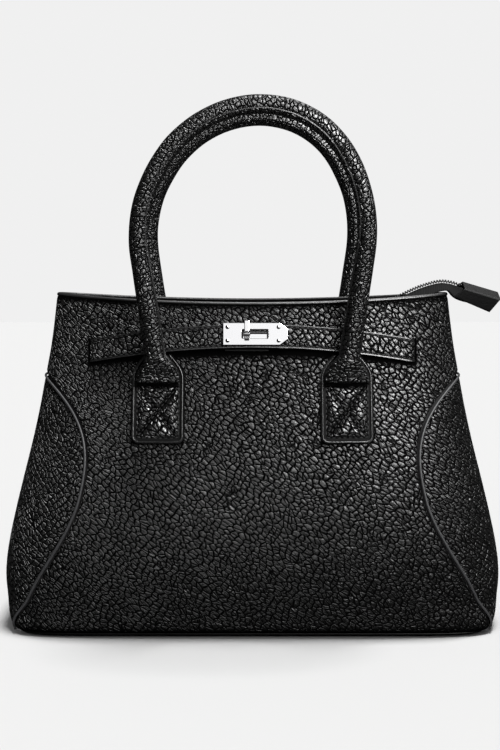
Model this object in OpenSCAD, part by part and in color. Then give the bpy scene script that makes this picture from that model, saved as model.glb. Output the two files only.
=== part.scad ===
// Top handle bag: a structured leather tote with two rolled handles, a belt held by a
// toggle clasp, and a recessed zip whose tail hangs over the right corner of the rim.
// Millimetres. +Z is up, the front faces -Y, and the origin is the middle of the base.

/* [Body] */
// Height of the rim at its two ends
body_h = 222.7; // [205:0.1:240]
// How far the rim dips at the middle
rim_dip = 5.5; // [0:0.5:10]
// Length of the foot, side to side
foot_len = 307; // [302:1:334]
// Length at the bulge above the foot
bulge_len = 335.2; // [322:0.2:350]
// Length of the rim
rim_len = 266; // [256:1:278]
// Depth of the foot, front to back
foot_depth = 123; // [110:1:134]
// Depth at the bulge
bulge_depth = 132; // [122:1:144]
// Depth of the rim at the middle
rim_depth = 52; // [50:1:60]
// Height of the bulge
bulge_h = 35; // [26:1:42]
// Squareness of the foot's outline, where 2 is an ellipse
foot_square = 5; // [4:0.1:6]
// Squareness added at the very foot, where the corners are tight
corner_square = 6; // [3:0.5:9]
// Height over which the added squareness dies out
corner_h = 25; // [15:1:35]
// Squareness of the rim's outline
rim_square = 2; // [2:0.1:2.4]

/* [Layers] */
// Thickness of the outer leather
leather_t = 2; // [1.6:0.1:2.6]
// Thickness of the inner facing at the rim
facing_t = 1.2; // [0.8:0.1:1.4]
// Height of the facing
facing_h = 24; // [20:1:27]
// Thickness of the backing patches behind the sewn parts
backing_t = 1; // [0.6:0.1:1.2]
// Height of the patches behind the tabs
backing_h = 49.6; // [40:0.1:54]
// Thickness of the lining
lining_t = 0.7; // [0.5:0.1:1]
// Height of the rolled edge along the rim
rim_edge_h = 2.4; // [1.6:0.1:3]

/* [Wing panels and piping] */
// Height of the wing's rounded top on the side of the bag
wing_h = 166.8; // [154:0.2:168]
// Height at which the wing reaches furthest round the front
wing_widest_h = 88.4; // [78:0.2:96]
// How far round the corner the wing reaches, in degrees from the side
wing_angle = 52; // [48:0.5:54]
// The same at the foot, in degrees
wing_foot_angle = 38; // [34:0.5:42]
// Width of the piping in the seam
piping_w = 1.6; // [1.2:0.1:2]
// How far the piping stands proud
piping_proud = 0.9; // [0.5:0.1:1.4]

/* [Base] */
// Thickness of the base leather
base_t = 2.4; // [2:0.1:3]
// Thickness of the stiff board in the base
board_t = 2; // [1.5:0.1:3]
// How far the welt round the foot stands proud
welt_proud = 1; // [0.6:0.1:1.4]
// Width of the welt under the wall
welt_under = 1.6; // [1.2:0.1:2]
// Height of the welt
welt_h = 1.6; // [1.4:0.1:2.4]
// Height of the welt's underside above the base
welt_lift = 1.1; // [0.6:0.1:1.4]

/* [Handles] */
// Diameter of the rolled handle
handle_d = 12.4; // [11:0.1:13]
// Thickness of the leather rolled round the core
wrap_t = 1.6; // [1.2:0.1:2]
// Height of the arch above its crease, to the centre of the roll
handle_rise = 180.4; // [170:0.2:200]
// Width of the arch between the roll's centres
handle_span = 147.8; // [145:0.2:152]
// Height of the widest place above the crease
handle_widest_h = 97.2; // [92:0.2:100]
// How far the top of the arch leans to the right
handle_sway = 5; // [0:0.5:6]
// Height above the crease where the arch starts to lean
sway_start = 76; // [60:1:90]
// Radius of the crown of the arch, to the centre of the roll
crown_r = 69.3; // [68:0.1:70]
// Lean of the straight legs, in degrees
leg_splay = 8.2; // [7:0.1:9.5]
// Distance between the feet of one handle
foot_spread = 124; // [120:0.2:128]
// Thickness of the flattened end at the crease
crease_t = 5; // [4:0.1:6]
// Width of the flattened end at the crease
crease_w = 29; // [26:0.5:31]
// How far the crease lies behind the middle of the roll
crease_set = 1.5; // [0:0.1:3]

/* [Handle tabs] */
// Width of a tab
tab_w = 33; // [30:0.5:36]
// Height of the lower edge of a tab above the base
tab_low_h = 127; // [122:0.5:131]
// Height of the crease where the handle folds
crease_h = 164; // [160:0.5:165]
// Height of the top of the tab's shoulders
shoulder_h = 182.6; // [180:0.1:186]
// Width of the tab at the top of its shoulders
shoulder_w = 16; // [14:0.5:18]
// Thickness of a tab
tab_t = 2.2; // [1.6:0.1:2.6]
// Radius of a tab's lower corners
tab_corner_r = 4; // [2:0.5:6]

/* [Belt] */
// Width of the belt
belt_w = 14.8; // [13:0.1:15.4]
// Thickness of each half of the belt
belt_t = 1.8; // [1.4:0.1:2]
// Distance of each slit from the middle
slit_x = 106.8; // [104:0.1:109]
// Height of the belt's middle line at the slits
belt_end_h = 185.1; // [183.6:0.1:187]
// Height of the belt's middle line at the clasp
belt_mid_h = 195.4; // [194:0.1:197]

/* [Clasp] */
// Length of the face plate with its pointed end
plate_len = 42.6; // [40:0.1:45]
// Height of the face plate
plate_h = 14.8; // [14.4:0.1:15.6]
// Thickness of the face plate
plate_t = 1.2; // [1:0.1:1.6]
// Distance of the face plate's square end from the middle
plate_left = 19.3; // [18:0.1:20]
// Length cut off at the corners of the pointed end
point_len = 5.4; // [4:0.1:6]
// Height cut off at the corners of the pointed end
point_h = 4; // [3:0.1:5]
// Length of the window in the plate
window_len = 17.3; // [16:0.1:18]
// Height of the window
window_h = 6.2; // [6:0.1:7]
// Distance of the window from the plate's square end
window_inset = 12.4; // [11.5:0.1:13]
// Radius of the rod in the window
rod_r = 1.65; // [1.4:0.05:1.8]
// Outer radius of the toggle's collar
collar_r = 2.4; // [2.3:0.05:2.6]
// Width of the toggle
toggle_w = 3.4; // [3:0.1:4]
// Reach of the toggle's arm from the rod
toggle_reach = 9.7; // [9:0.1:11]
// Thickness of the toggle's arm
toggle_t = 1.9; // [1.5:0.1:2]
// Radius of the screw heads
screw_head_r = 1.3; // [1.1:0.1:1.4]
// Height of the clasp's base plate
clasp_base_h = 17; // [16:0.1:18]
// Length of the clasp's base plate
clasp_base_len = 28.8; // [27:0.1:30]

/* [Zip] */
// Height of the closed zip above the base
zip_h = 204.7; // [202:0.1:206]
// Radius of each half of the coil
coil_r = 1.2; // [1:0.1:1.3]
// Width of each half of the zip's tape
tape_w = 12; // [10:0.5:13]
// Thickness of the tape
tape_t = 0.7; // [0.5:0.1:0.8]
// Thickness of the strips that carry the tape
strip_t = 1; // [0.8:0.1:1.2]
// Place of the slider when the zip is closed, from the middle
slider_x = -92; // [-94:1:-88]
// Length of the slider
slider_len = 12; // [10:0.5:13]
// Width of the slider
slider_w = 9; // [8:0.5:10]
// Travel of the slider
slider_travel = 150; // [120:1:152]
// Length of the puller from its pin
puller_len = 19; // [16:0.5:20]
// Width of the puller
puller_w = 7; // [6:0.5:8]
// Radius of the puller's pin
pin_r = 0.9; // [0.7:0.05:1]

/* [Zip tail] */
// Height of the tail's ridge above the rim
tail_arch = 6.2; // [5.6:0.1:9]
// Width of the tail where it is flat
tail_w = 16.4; // [14:0.2:18]
// Distance of the tail's end past the rim
tail_past = 18.4; // [16:0.1:20]
// Distance of the end tab past the rim
end_tab_past = 11.4; // [10.4:0.1:13]
// Length of the end tab, level
end_tab_len = 24.4; // [20:0.1:27]
// Fall of the end tab over its length
end_tab_fall = 7.2; // [5:0.1:9]
// Width of the end tab's top
end_tab_w = 11.2; // [10:0.1:13]
// Height of the end tab's flaps at the tail
end_tab_drop = 5.6; // [5:0.1:8]
// Height of the flaps at the far end
end_tab_end_drop = 8.8; // [7:0.1:10]
// How far the flaps' lower edges lie back towards the bag
end_tab_slant = 7.6; // [4:0.1:9]
// Thickness of the leather of the end tab
end_tab_t = 1.5; // [1:0.1:2]

/* [Hidden] */
$fn = 48;

// Clearances
layer_gap = 0.1;
seam_gap = 0.25;
fold_gap = 0.3;
running_gap = 0.05;
overrun = 0.5;

// Colours
hide_black = [0.07, 0.07, 0.07];
edge_black = [0.13, 0.13, 0.13];
cloth_black = [0.10, 0.10, 0.11];
board_grey = [0.35, 0.33, 0.30];
rope_tan = [0.70, 0.62, 0.48];
steel = [0.82, 0.82, 0.83];

// The wall stack, as depths inwards from the outer face
facing_in = leather_t + layer_gap;
facing_out = facing_in + facing_t;
backing_in = leather_t + layer_gap;
lining_in = facing_out + layer_gap;
lining_out = lining_in + lining_t;

// Heights
wall_low = welt_lift + welt_h + layer_gap;
board_low = base_t + layer_gap;
floor_low = board_low + board_t + layer_gap;
lining_low = floor_low + lining_t + layer_gap;
facing_low = body_h - facing_h;
lining_high = facing_low + 0.15 * facing_h;

// Body surface. The profile curves run from the bulge to the rim: each control point is
// a share of the way inwards and a share of the way up.
length_curve_shares = [[0, 0], [0, 0.18], [0.70, 0.50], [1, 1]];
depth_curve_shares = [[0, 0], [0, 0.32], [0.73, 0.68], [1, 1]];
foot_rings = 5;
profile_rings = 26;

function mix(a, b, t) = a + (b - a) * t;
function bezier(p, t) =
    pow(1 - t, 3) * p[0] + 3 * pow(1 - t, 2) * t * p[1]
    + 3 * (1 - t) * t * t * p[2] + pow(t, 3) * p[3];
function profile(foot, bulge, rim, shares) = concat(
    [for (k = [0:foot_rings - 1]) let (a = 90 * k / foot_rings)
        [bulge_h * (1 - cos(a)), mix(foot, bulge, sin(a))]],
    [for (k = [0:profile_rings]) let (s = bezier(shares, k / profile_rings))
        [mix(bulge_h, body_h, s[1]), mix(bulge, rim, s[0])]]);
length_profile = profile(foot_len / 2, bulge_len / 2, rim_len / 2, length_curve_shares);
depth_profile = profile(foot_depth / 2, bulge_depth / 2, rim_depth / 2, depth_curve_shares);

function half_len(z, deep) = lookup(z, length_profile) - deep;
function half_depth(z, deep) = lookup(z, depth_profile) - deep;
function square_at(z) = mix(foot_square, rim_square, min(max(z / body_h, 0), 1))
    + corner_square * pow(min(max(1 - z / corner_h, 0), 1), 2);
function reach(turn, n) = pow(pow(abs(cos(turn)), n) + pow(abs(sin(turn)), n), -1 / n);

// A point of the wall: turn is 0 at the right side, 90 at the front and 180 at the left
// side, and negative turns are the back. deep is inwards from the outer face.
function wall(turn, z, deep) = let (r = reach(turn, square_at(z)))
    [half_len(z, deep) * r * cos(turn), -half_depth(z, deep) * r * sin(turn), z];
// The same face by its distance from the middle, on the front
function front_y(x, z, deep) = let (n = square_at(z))
    -half_depth(z, deep) * pow(1 - pow(abs(x) / half_len(z, deep), n), 1 / n);
function front_point(x, z, deep) = [x, front_y(x, z, deep), z];
// Lean of the front face back from upright at the middle, in degrees
lean_step = 2;
function front_lean(z) = atan(
    (front_y(0, z + lean_step, 0) - front_y(0, z - lean_step, 0)) / (2 * lean_step));
function rim_z(turn) = body_h - rim_dip * pow(sin(turn), 2);

function unit(v) = v / norm(v);
small_turn = 0.5;
small_z = 0.5;
function outward(turn, z) = unit(cross(
    wall(turn, z + small_z, 0) - wall(turn, z - small_z, 0),
    wall(turn + small_turn, z, 0) - wall(turn - small_turn, z, 0)));

// The seam between a wing and the front or back, moved outwards from the wing by grow
dome_power = 2.8;
foot_power = 1.6;
// Length along the wall for each degree of turn
function turn_len(turn, z) =
    norm(wall(turn + small_turn, z, 0) - wall(turn - small_turn, z, 0)) / (2 * small_turn);
function low_turn(z) = wing_angle - (wing_angle - wing_foot_angle)
    * pow(max(wing_widest_h - z, 0) / wing_widest_h, foot_power);
function low_run(z) = turn_len(low_turn(z), z)
    * (low_turn(z + small_z) - low_turn(z - small_z)) / (2 * small_z);
function seam_turn(z, grow) = let (
        widest = wing_angle + grow / turn_len(wing_angle, wing_widest_h),
        top = wing_h + grow,
        up = (z - wing_widest_h) / (top - wing_widest_h))
    z >= top ? 0 :
    z >= wing_widest_h ? widest * pow(1 - pow(up, dome_power), 1 / dome_power)
        : low_turn(z) + grow * sqrt(1 + pow(low_run(z), 2)) / turn_len(low_turn(z), z);
low_rows = 8;
dome_rows = 9;
dome_end_share = 0.995;
function wing_rows(grow) = concat(
    [for (k = [0:low_rows - 1]) mix(wall_low, wing_widest_h, k / low_rows)],
    [for (k = [0:dome_rows - 1])
        mix(wing_widest_h, wing_h + grow, sin(90 * k / dome_rows))],
    [mix(wing_widest_h, wing_h + grow, dome_end_share)]);

// Solids from grids and rings of points

function flat(grid) = [for (row = grid) for (p = row) p];
function halves(quads) = [for (q = quads) for (t = [[q[0], q[1], q[2]], [q[0], q[2], q[3]]]) t];

// A sheet between an outer and an inner grid of points
module sheet(outer, inner) {
    rows = len(outer);
    cols = len(outer[0]);
    far = rows * cols;
    top = rows - 1;
    side = cols - 1;
    quads = concat(
        [for (r = [0:rows - 2], c = [0:cols - 2]) let (k = r * cols + c)
            [k, k + 1, k + cols + 1, k + cols]],
        [for (r = [0:rows - 2], c = [0:cols - 2]) let (k = far + r * cols + c)
            [k, k + cols, k + cols + 1, k + 1]],
        [for (c = [0:cols - 2]) [c, far + c, far + c + 1, c + 1]],
        [for (c = [0:cols - 2]) let (k = top * cols + c) [k, k + 1, far + k + 1, far + k]],
        [for (r = [0:rows - 2]) let (k = r * cols) [k, k + cols, far + k + cols, far + k]],
        [for (r = [0:rows - 2]) let (k = r * cols + side)
            [k, far + k, far + k + cols, k + cols]]);
    polyhedron(points = concat(flat(outer), flat(inner)), faces = halves(quads), convexity = 6);
}

// A solid through rings of equal count, closed at both ends
module rings_solid(rings) {
    n = len(rings[0]);
    last = (len(rings) - 1) * n;
    sides = [for (r = [0:len(rings) - 2], c = [0:n - 1]) let (k = r * n, d = (c + 1) % n)
        [k + c, k + d, k + n + d, k + n + c]];
    caps = concat(
        [for (c = [1:n - 2]) [0, c + 1, c]],
        [for (c = [1:n - 2]) [last, last + c, last + c + 1]]);
    polyhedron(points = flat(rings), faces = concat(halves(sides), caps), convexity = 6);
}

// Half of the wall from side seam to side seam, up to an edge that follows the rim
half_cols = 32;
function side_turn(z) = atan(seam_gap / half_depth(z, 0));
module half_wall(low, high, deep_a, deep_b, follows_rim, rows) {
    function row_z(turn, share) = mix(low, high + (follows_rim ? rim_z(turn) - body_h : 0), share);
    function grid(deep) = [for (r = [0:rows]) [for (c = [0:half_cols])
        let (edge = side_turn(mix(low, high, r / rows)),
             turn = mix(edge, 180 - edge, c / half_cols))
        wall(turn, row_z(turn, r / rows), deep)]];
    sheet(grid(deep_a), grid(deep_b));
}

// Shell

panel_cols = 40;
upper_rows = 5;
seam_room = piping_w / 2 + seam_gap;
module panel_shell() {
    rows = wing_rows(seam_room);
    wing_top = wing_h + seam_room;
    function low_grid(deep) = [for (z = rows) let (edge = seam_turn(z, seam_room))
        [for (c = [0:panel_cols]) wall(mix(edge, 180 - edge, c / panel_cols), z, deep)]];
    function high_grid(deep) = [for (r = [0:upper_rows]) [for (c = [0:panel_cols])
        let (edge = side_turn(wing_top), turn = mix(edge, 180 - edge, c / panel_cols))
        wall(turn, mix(wing_top, rim_z(turn) - rim_edge_h, r / upper_rows), deep)]];
    sheet(concat(low_grid(0), high_grid(0)), concat(low_grid(leather_t), high_grid(leather_t)));
}

slit_w = belt_t + 2 * seam_gap;
slit_h = belt_w + 2 * seam_gap;
module front_panel() {
    color(hide_black) difference() {
        panel_shell();
        for (side = [-1, 1])
            translate([side * (slit_x + belt_t / 2), front_y(slit_x, belt_end_h, 0), belt_end_h])
                cube([slit_w, 4 * leather_t + 2 * overrun, slit_h], center = true);
    }
}

module back_panel() {
    color(hide_black) mirror([0, 1, 0]) panel_shell();
}

wing_cols = 20;
module right_wing_panel() {
    rows = wing_rows(-seam_room);
    function grid(deep) = [for (z = rows) let (edge = seam_turn(z, -seam_room))
        [for (c = [0:wing_cols]) wall(mix(-edge, edge, c / wing_cols), z, deep)]];
    color(hide_black) sheet(grid(0), grid(leather_t));
}

module left_wing_panel() {
    mirror([1, 0, 0]) right_wing_panel();
}

// The seam as turns and heights, from the front foot over the top to the back foot
seam_path = let (
        rows = wing_rows(0),
        front = [for (z = rows) [seam_turn(z, 0), z]],
        n = len(front) - 1)
    concat(front, [[0, wing_h]], [for (k = [n:-1:0]) [-front[k][0], front[k][1]]]);
module right_wing_piping() {
    n = len(seam_path) - 1;
    function at(k) = wall(seam_path[k][0], seam_path[k][1], 0);
    rings = [for (k = [0:n])
        let (out = outward(seam_path[k][0], seam_path[k][1]),
             along = k == 0 || k == n ? [0, 0, k == 0 ? 1 : -1] : unit(at(k + 1) - at(k - 1)),
             across = unit(cross(along, out)) * piping_w / 2,
             inner = wall(seam_path[k][0], seam_path[k][1], leather_t))
        [inner - across, inner + across, at(k) + across + out * piping_proud / 2,
         at(k) + out * piping_proud, at(k) - across + out * piping_proud / 2]];
    color(edge_black) rings_solid(rings);
}

module left_wing_piping() {
    mirror([1, 0, 0]) right_wing_piping();
}

outline_points = 96;
module outline(z, deep) {
    polygon([for (k = [0:outline_points - 1]) let (p = wall(360 * k / outline_points, z, deep))
        [p[0], p[1]]]);
}

module base_panel() {
    color(hide_black) linear_extrude(base_t) outline(0, welt_under + layer_gap);
}

module base_welt() {
    color(edge_black) translate([0, 0, welt_lift]) linear_extrude(welt_h) difference() {
        outline(0, -welt_proud);
        outline(0, welt_under);
    }
}

module base_board() {
    color(board_grey) translate([0, 0, board_low]) linear_extrude(board_t)
        outline(0, leather_t + seam_gap);
}

module lining_floor() {
    color(cloth_black) translate([0, 0, floor_low]) linear_extrude(lining_t)
        outline(0, leather_t + seam_gap);
}

lining_rows = 10;
module front_lining() {
    color(cloth_black) half_wall(lining_low, lining_high, lining_in, lining_out, false, lining_rows);
}

module back_lining() {
    mirror([0, 1, 0]) front_lining();
}

facing_rows = 2;
module front_facing() {
    color(hide_black)
        half_wall(facing_low, body_h - rim_edge_h, facing_in, facing_out, true, facing_rows);
}

module back_facing() {
    mirror([0, 1, 0]) front_facing();
}

binding_proud = 0.2;
binding_cols = 48;
module front_rim_binding() {
    low = rim_edge_h - layer_gap;
    round_edge = rim_edge_h / 3;
    function ring(turn) = let (z = rim_z(turn))
        [wall(turn, z - low, -binding_proud), wall(turn, z - round_edge, -binding_proud),
         wall(turn, z, round_edge), wall(turn, z, facing_out - round_edge),
         wall(turn, z - round_edge, facing_out), wall(turn, z - low, facing_out)];
    edge = side_turn(body_h);
    color(edge_black)
        rings_solid([for (c = [0:binding_cols]) ring(mix(180 - edge, edge, c / binding_cols))]);
}

module back_rim_binding() {
    mirror([0, 1, 0]) front_rim_binding();
}

// Handle tabs

shoulder_start = crease_h + tab_corner_r;
corner_rows = 3;
field_rows = 3;
shoulder_rows = 6;
tab_rows = concat(
    [for (k = [0:corner_rows]) tab_low_h + tab_corner_r * (1 - cos(90 * k / corner_rows))],
    [for (k = [1:field_rows]) mix(tab_low_h + tab_corner_r, crease_h, k / field_rows)],
    [for (k = [0:shoulder_rows]) mix(shoulder_start, shoulder_h, k / shoulder_rows)]);
function tab_half(z) =
    z < tab_low_h + tab_corner_r
        ? tab_w / 2 - tab_corner_r
          + sqrt(max(0, pow(tab_corner_r, 2) - pow(tab_low_h + tab_corner_r - z, 2))) :
    z < shoulder_start ? tab_w / 2 :
    mix(shoulder_w / 2, tab_w / 2, cos(90 * (z - shoulder_start) / (shoulder_h - shoulder_start)));
tab_cols = 6;
module front_right_tab() {
    function grid(deep) = [for (z = tab_rows) [for (c = [0:tab_cols])
        front_point(foot_spread / 2 + tab_half(z) * (1 - 2 * c / tab_cols), z, deep)]];
    color(hide_black) sheet(grid(-layer_gap - tab_t), grid(-layer_gap));
}

module front_left_tab() {
    mirror([1, 0, 0]) front_right_tab();
}

module back_right_tab() {
    mirror([0, 1, 0]) front_right_tab();
}

module back_left_tab() {
    mirror([0, 1, 0]) front_left_tab();
}

backing_rows = 4;
module front_tab_backings() {
    high = shoulder_h - tab_corner_r;
    low = high - backing_h;
    function grid(deep) = [for (r = [0:backing_rows]) [for (c = [0:tab_cols])
        front_point((foot_spread + tab_w * (1 - 2 * c / tab_cols)) / 2,
                    mix(low, high, r / backing_rows), deep)]];
    color(board_grey) for (side = [0, 1]) mirror([side, 0, 0])
        sheet(grid(backing_in), grid(backing_in + backing_t));
}

module back_tab_backings() {
    mirror([0, 1, 0]) front_tab_backings();
}

// Handles. Each is drawn upright in the plane y = 0 of its own frame, with z = 0 at the
// crease, and then set in front of its tabs.

crown_z = handle_rise - crown_r;
side_bulge = handle_span / 2 - crown_r;
centre_drop = crown_z - handle_widest_h;
centre_gap = (pow(centre_drop, 2) + pow(side_bulge, 2)) / (2 * side_bulge);
side_r = crown_r + centre_gap;
crown_turn = asin(centre_drop / centre_gap);
side_centre = [handle_span / 2 - side_r, handle_widest_h];
leg_top = side_centre + side_r * [cos(leg_splay), -sin(leg_splay)];
neck_z = shoulder_h - crease_h;
function leg_x(z) = leg_top[0] - (leg_top[1] - z) * tan(leg_splay);
pivot_z = crease_t / 2;
pivot_y = front_y((foot_spread - crease_w) / 2, crease_h + pivot_z, -layer_gap - tab_t)
          - (crease_t / 2 + fold_gap) / cos(front_lean(crease_h));
handle_y = pivot_y - crease_set;
round_sides = 16;
side_steps = 6;
crown_steps = 16;
flare_steps = 6;
end_steps = 3;

// The roll's centre line from the right neck over the crown to the left one, as places
// and turns of the outer side
function on_arc(centre, r, turn) = [centre[0] + r * cos(turn), centre[1] + r * sin(turn), turn];
right_half = concat(
    [[leg_x(neck_z), neck_z, -leg_splay]],
    [for (k = [0:side_steps - 1])
        on_arc(side_centre, side_r, mix(-leg_splay, crown_turn, k / side_steps))],
    [for (k = [0:crown_steps / 2 - 1])
        on_arc([0, crown_z], crown_r, mix(crown_turn, 90, 2 * k / crown_steps))]);
right_last = len(right_half) - 1;
function sway(z) =
    handle_sway * pow(max(z - sway_start, 0) / (handle_rise - sway_start), 2);
roll_line = concat(
    [for (p = right_half) [p[0] + sway(p[1]), p[1], p[2]]],
    [[handle_sway, crown_z + crown_r, 90]],
    [for (k = [right_last:-1:0]) let (p = right_half[k])
        [sway(p[1]) - p[0], p[1], 180 - p[2]]]);

// A ring of the handle: half its width, half its thickness, squareness and place in y
function handle_ring(place, half_w, half_t, square, y) =
    [for (c = [0:round_sides - 1]) let (
        a = 360 * (c + 0.5) / round_sides,
        r = pow(pow(abs(cos(a)), square) + pow(abs(sin(a)), square), -1 / square),
        side = half_w * r * cos(a))
        [place[0] + side * cos(place[2]), y - half_t * r * sin(a),
         place[1] + side * sin(place[2])]];
function roll_rings(r) = [for (place = roll_line) handle_ring(place, r, r, 2, 0)];

// The flat end below a neck, at a share of the way down to the pivot line
function flare_ring(side, down) = let (
        ease = down * down * (3 - 2 * down),
        z = mix(neck_z, pivot_z, down),
        x = mix(leg_x(z), foot_spread / 2, down),
        turn = -leg_splay * (1 - down))
    handle_ring([side * x, z, side > 0 ? turn : 180 - turn],
                mix(handle_d, crease_w, ease) / 2, mix(handle_d, crease_t, ease) / 2,
                2 + 2 * down, crease_set * ease);
// The round edge about the pivot line, at an angle below it
function end_ring(side, dip) =
    handle_ring([side * foot_spread / 2, pivot_z - crease_t / 2 * sin(dip), side > 0 ? 0 : 180],
                crease_w / 2, crease_t / 2 * cos(dip), 4, crease_set);
end_dips = [for (k = [1:end_steps]) 80 * k / end_steps];
function cover_rings() = concat(
    [for (k = [end_steps - 1:-1:0]) end_ring(1, end_dips[k])],
    [for (k = [flare_steps:-1:1]) flare_ring(1, k / flare_steps)],
    roll_rings(handle_d / 2),
    [for (k = [1:flare_steps]) flare_ring(-1, k / flare_steps)],
    [for (dip = end_dips) end_ring(-1, dip)]);

module handle_cover() {
    difference() {
        rings_solid(cover_rings());
        rings_solid(roll_rings(handle_d / 2 - wrap_t));
    }
}

module front_handle_cover() {
    color(hide_black) translate([0, handle_y, crease_h]) handle_cover();
}

module front_handle_core() {
    core_r = handle_d / 2 - wrap_t - layer_gap;
    color(rope_tan) translate([0, handle_y, crease_h]) rings_solid(roll_rings(core_r));
}

module back_handle_cover() {
    mirror([0, 1, 0]) front_handle_cover();
}

module back_handle_core() {
    mirror([0, 1, 0]) front_handle_core();
}

// Belt

plate_right = plate_len - plate_left;
clasp_base_t = 1.2;
under_belt = clasp_base_t + 3 * layer_gap;
over_belt = under_belt + belt_t + layer_gap;
belt_lift = fold_gap;
belt_steps = 12;
hook_x = slit_x + belt_t / 2;
function belt_z(x) = mix(belt_mid_h, belt_end_h, pow(abs(x) / slit_x, 2));
// Height of the belt's underside off the panel
function belt_off(x, at_clasp) = mix(at_clasp, belt_lift, pow(max(abs(x) / slit_x, 0), 2));

// A half of the belt from the slit at the right to an end past the middle
module belt_half(end_x, at_clasp) {
    function column(x, off) = let (z = belt_z(x))
        [front_point(x, z - belt_w / 2, -off), front_point(x, z + belt_w / 2, -off)];
    stations = [for (k = [0:belt_steps]) mix(end_x, slit_x - belt_t, k / belt_steps)];
    function outer() = concat(
        [for (x = stations) column(x, belt_off(x, at_clasp) + belt_t)],
        [column(hook_x + belt_t / 2, belt_lift + belt_t / 2)],
        [column(hook_x + belt_t / 2, -leather_t)]);
    function inner() = concat(
        [for (x = stations) column(x, belt_off(x, at_clasp))],
        [column(hook_x - belt_t / 2, belt_lift / 2)],
        [column(hook_x - belt_t / 2, -leather_t)]);
    sheet(outer(), inner());
}

// Places on the front, square to the leaning face: z is outwards here
module on_front(z) {
    translate([0, front_y(0, z, 0), z]) rotate([90 - front_lean(z), 0, 0]) children();
}

window_left = window_inset - plate_left;
window_mid = window_left + window_len / 2;
screw_inset = 2.9;
screw_r = 0.8;
screw_right = plate_right - point_len - screw_inset / 4;
screw_places = [for (x = [screw_inset - plate_left, screw_right], side = [-1, 1])
    [x, side * (plate_h / 2 - screw_inset)]];
plate_off = over_belt + belt_t + layer_gap;

module clasp_cuts() {
    on_front(belt_mid_h) {
        translate([window_mid, 0, 0])
            cube([window_len + 2 * seam_gap, window_h + 2 * seam_gap, 4 * plate_off], center = true);
        for (p = screw_places) translate([p[0], p[1], 0])
            cylinder(r = screw_r + running_gap, h = 4 * plate_off, center = true);
    }
}

module belt_right() {
    color(hide_black) difference() {
        belt_half(-plate_left, under_belt);
        clasp_cuts();
    }
}

module belt_left() {
    color(hide_black) difference() {
        mirror([1, 0, 0]) belt_half(-plate_right, over_belt);
        clasp_cuts();
    }
}

anchor_reach = 6;
anchor_cols = 6;
anchor_rows = 3;
module belt_anchors() {
    low = belt_end_h - belt_w / 2 - anchor_reach / 2;
    high = belt_end_h + belt_w / 2 + anchor_reach / 2;
    function grid(deep) = [for (r = [0:anchor_rows]) [for (c = [0:anchor_cols])
        front_point(hook_x + anchor_reach * (1 - 2 * c / anchor_cols),
                    mix(low, high, r / anchor_rows), deep)]];
    color(board_grey) for (side = [0, 1]) mirror([side, 0, 0])
        sheet(grid(backing_in + layer_gap), grid(backing_in + layer_gap + backing_t));
}

// Clasp

module clasp_plate() {
    half = plate_h / 2;
    color(steel) on_front(belt_mid_h) translate([0, 0, plate_off]) linear_extrude(plate_t)
        difference() {
            polygon([[-plate_left, -half], [plate_right - point_len, -half],
                     [plate_right, -half + point_h], [plate_right, half - point_h],
                     [plate_right - point_len, half], [-plate_left, half]]);
            translate([window_mid, 0]) square([window_len, window_h], center = true);
            for (p = screw_places) translate(p) circle(r = screw_r + running_gap);
        }
}

screw_head_h = 0.8;
module clasp_screws() {
    shank = plate_t + layer_gap + belt_t;
    color(steel) on_front(belt_mid_h) for (p = screw_places)
        translate([p[0], p[1], plate_off + plate_t]) {
            cylinder(r = screw_head_r, h = screw_head_h);
            translate([0, 0, -shank]) cylinder(r = screw_r, h = shank + screw_head_h / 2);
        }
}

post_t = 0.9;
post_h = 4.6;
rod_drop = 0.4;
rod_off = plate_off + plate_t;
base_drop = 2;
module clasp_base() {
    left = window_left + running_gap;
    right = window_left + window_len - running_gap;
    color(steel) difference() {
        on_front(belt_mid_h) {
            translate([right + fold_gap - clasp_base_len, -clasp_base_h / 2 - base_drop, layer_gap])
                cube([clasp_base_len, clasp_base_h, clasp_base_t]);
            for (x = [left, right - post_t])
                translate([x, -rod_drop - post_h / 2, layer_gap])
                    cube([post_t, post_h, rod_off + rod_r]);
        }
        on_front(belt_mid_h) translate([window_mid, -rod_drop, rod_off]) rotate([0, 90, 0])
            cylinder(r = rod_r + running_gap, h = 2 * window_len, center = true);
    }
}

module clasp_rod() {
    color(steel) on_front(belt_mid_h) translate([window_left + seam_gap, -rod_drop, rod_off])
        rotate([0, 90, 0]) cylinder(r = rod_r, h = window_len - 2 * seam_gap);
}

toggle_x = window_left + running_gap + post_t + fold_gap;
module clasp_toggle() {
    arm_low = collar_r / 2;
    tip_r = toggle_w / 2;
    color(steel) on_front(belt_mid_h) translate([toggle_x, -rod_drop, rod_off]) difference() {
        union() {
            rotate([0, 90, 0]) cylinder(r = collar_r, h = toggle_w);
            translate([0, arm_low, fold_gap])
                cube([toggle_w, toggle_reach - arm_low - tip_r, toggle_t]);
            translate([tip_r, toggle_reach - tip_r, fold_gap]) cylinder(r = tip_r, h = toggle_t);
        }
        translate([-overrun, 0, 0]) rotate([0, 90, 0])
            cylinder(r = rod_r + running_gap, h = toggle_w + 2 * overrun);
    }
}

// Zip

coil_y = coil_r + layer_gap;
tape_y = coil_y + coil_r + layer_gap;
strip_y = tape_y + tape_w * 0.6;
coil_start = slider_x - slider_len / 3;
coil_end = slider_x + slider_travel + puller_len + puller_w / 3;
tail_x = coil_end + 2 * seam_gap;
strip_low = zip_h + tape_t / 2 + layer_gap;
strip_high = strip_low + strip_t;
strip_deep = facing_out + layer_gap;
strip_cols = 36;
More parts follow.
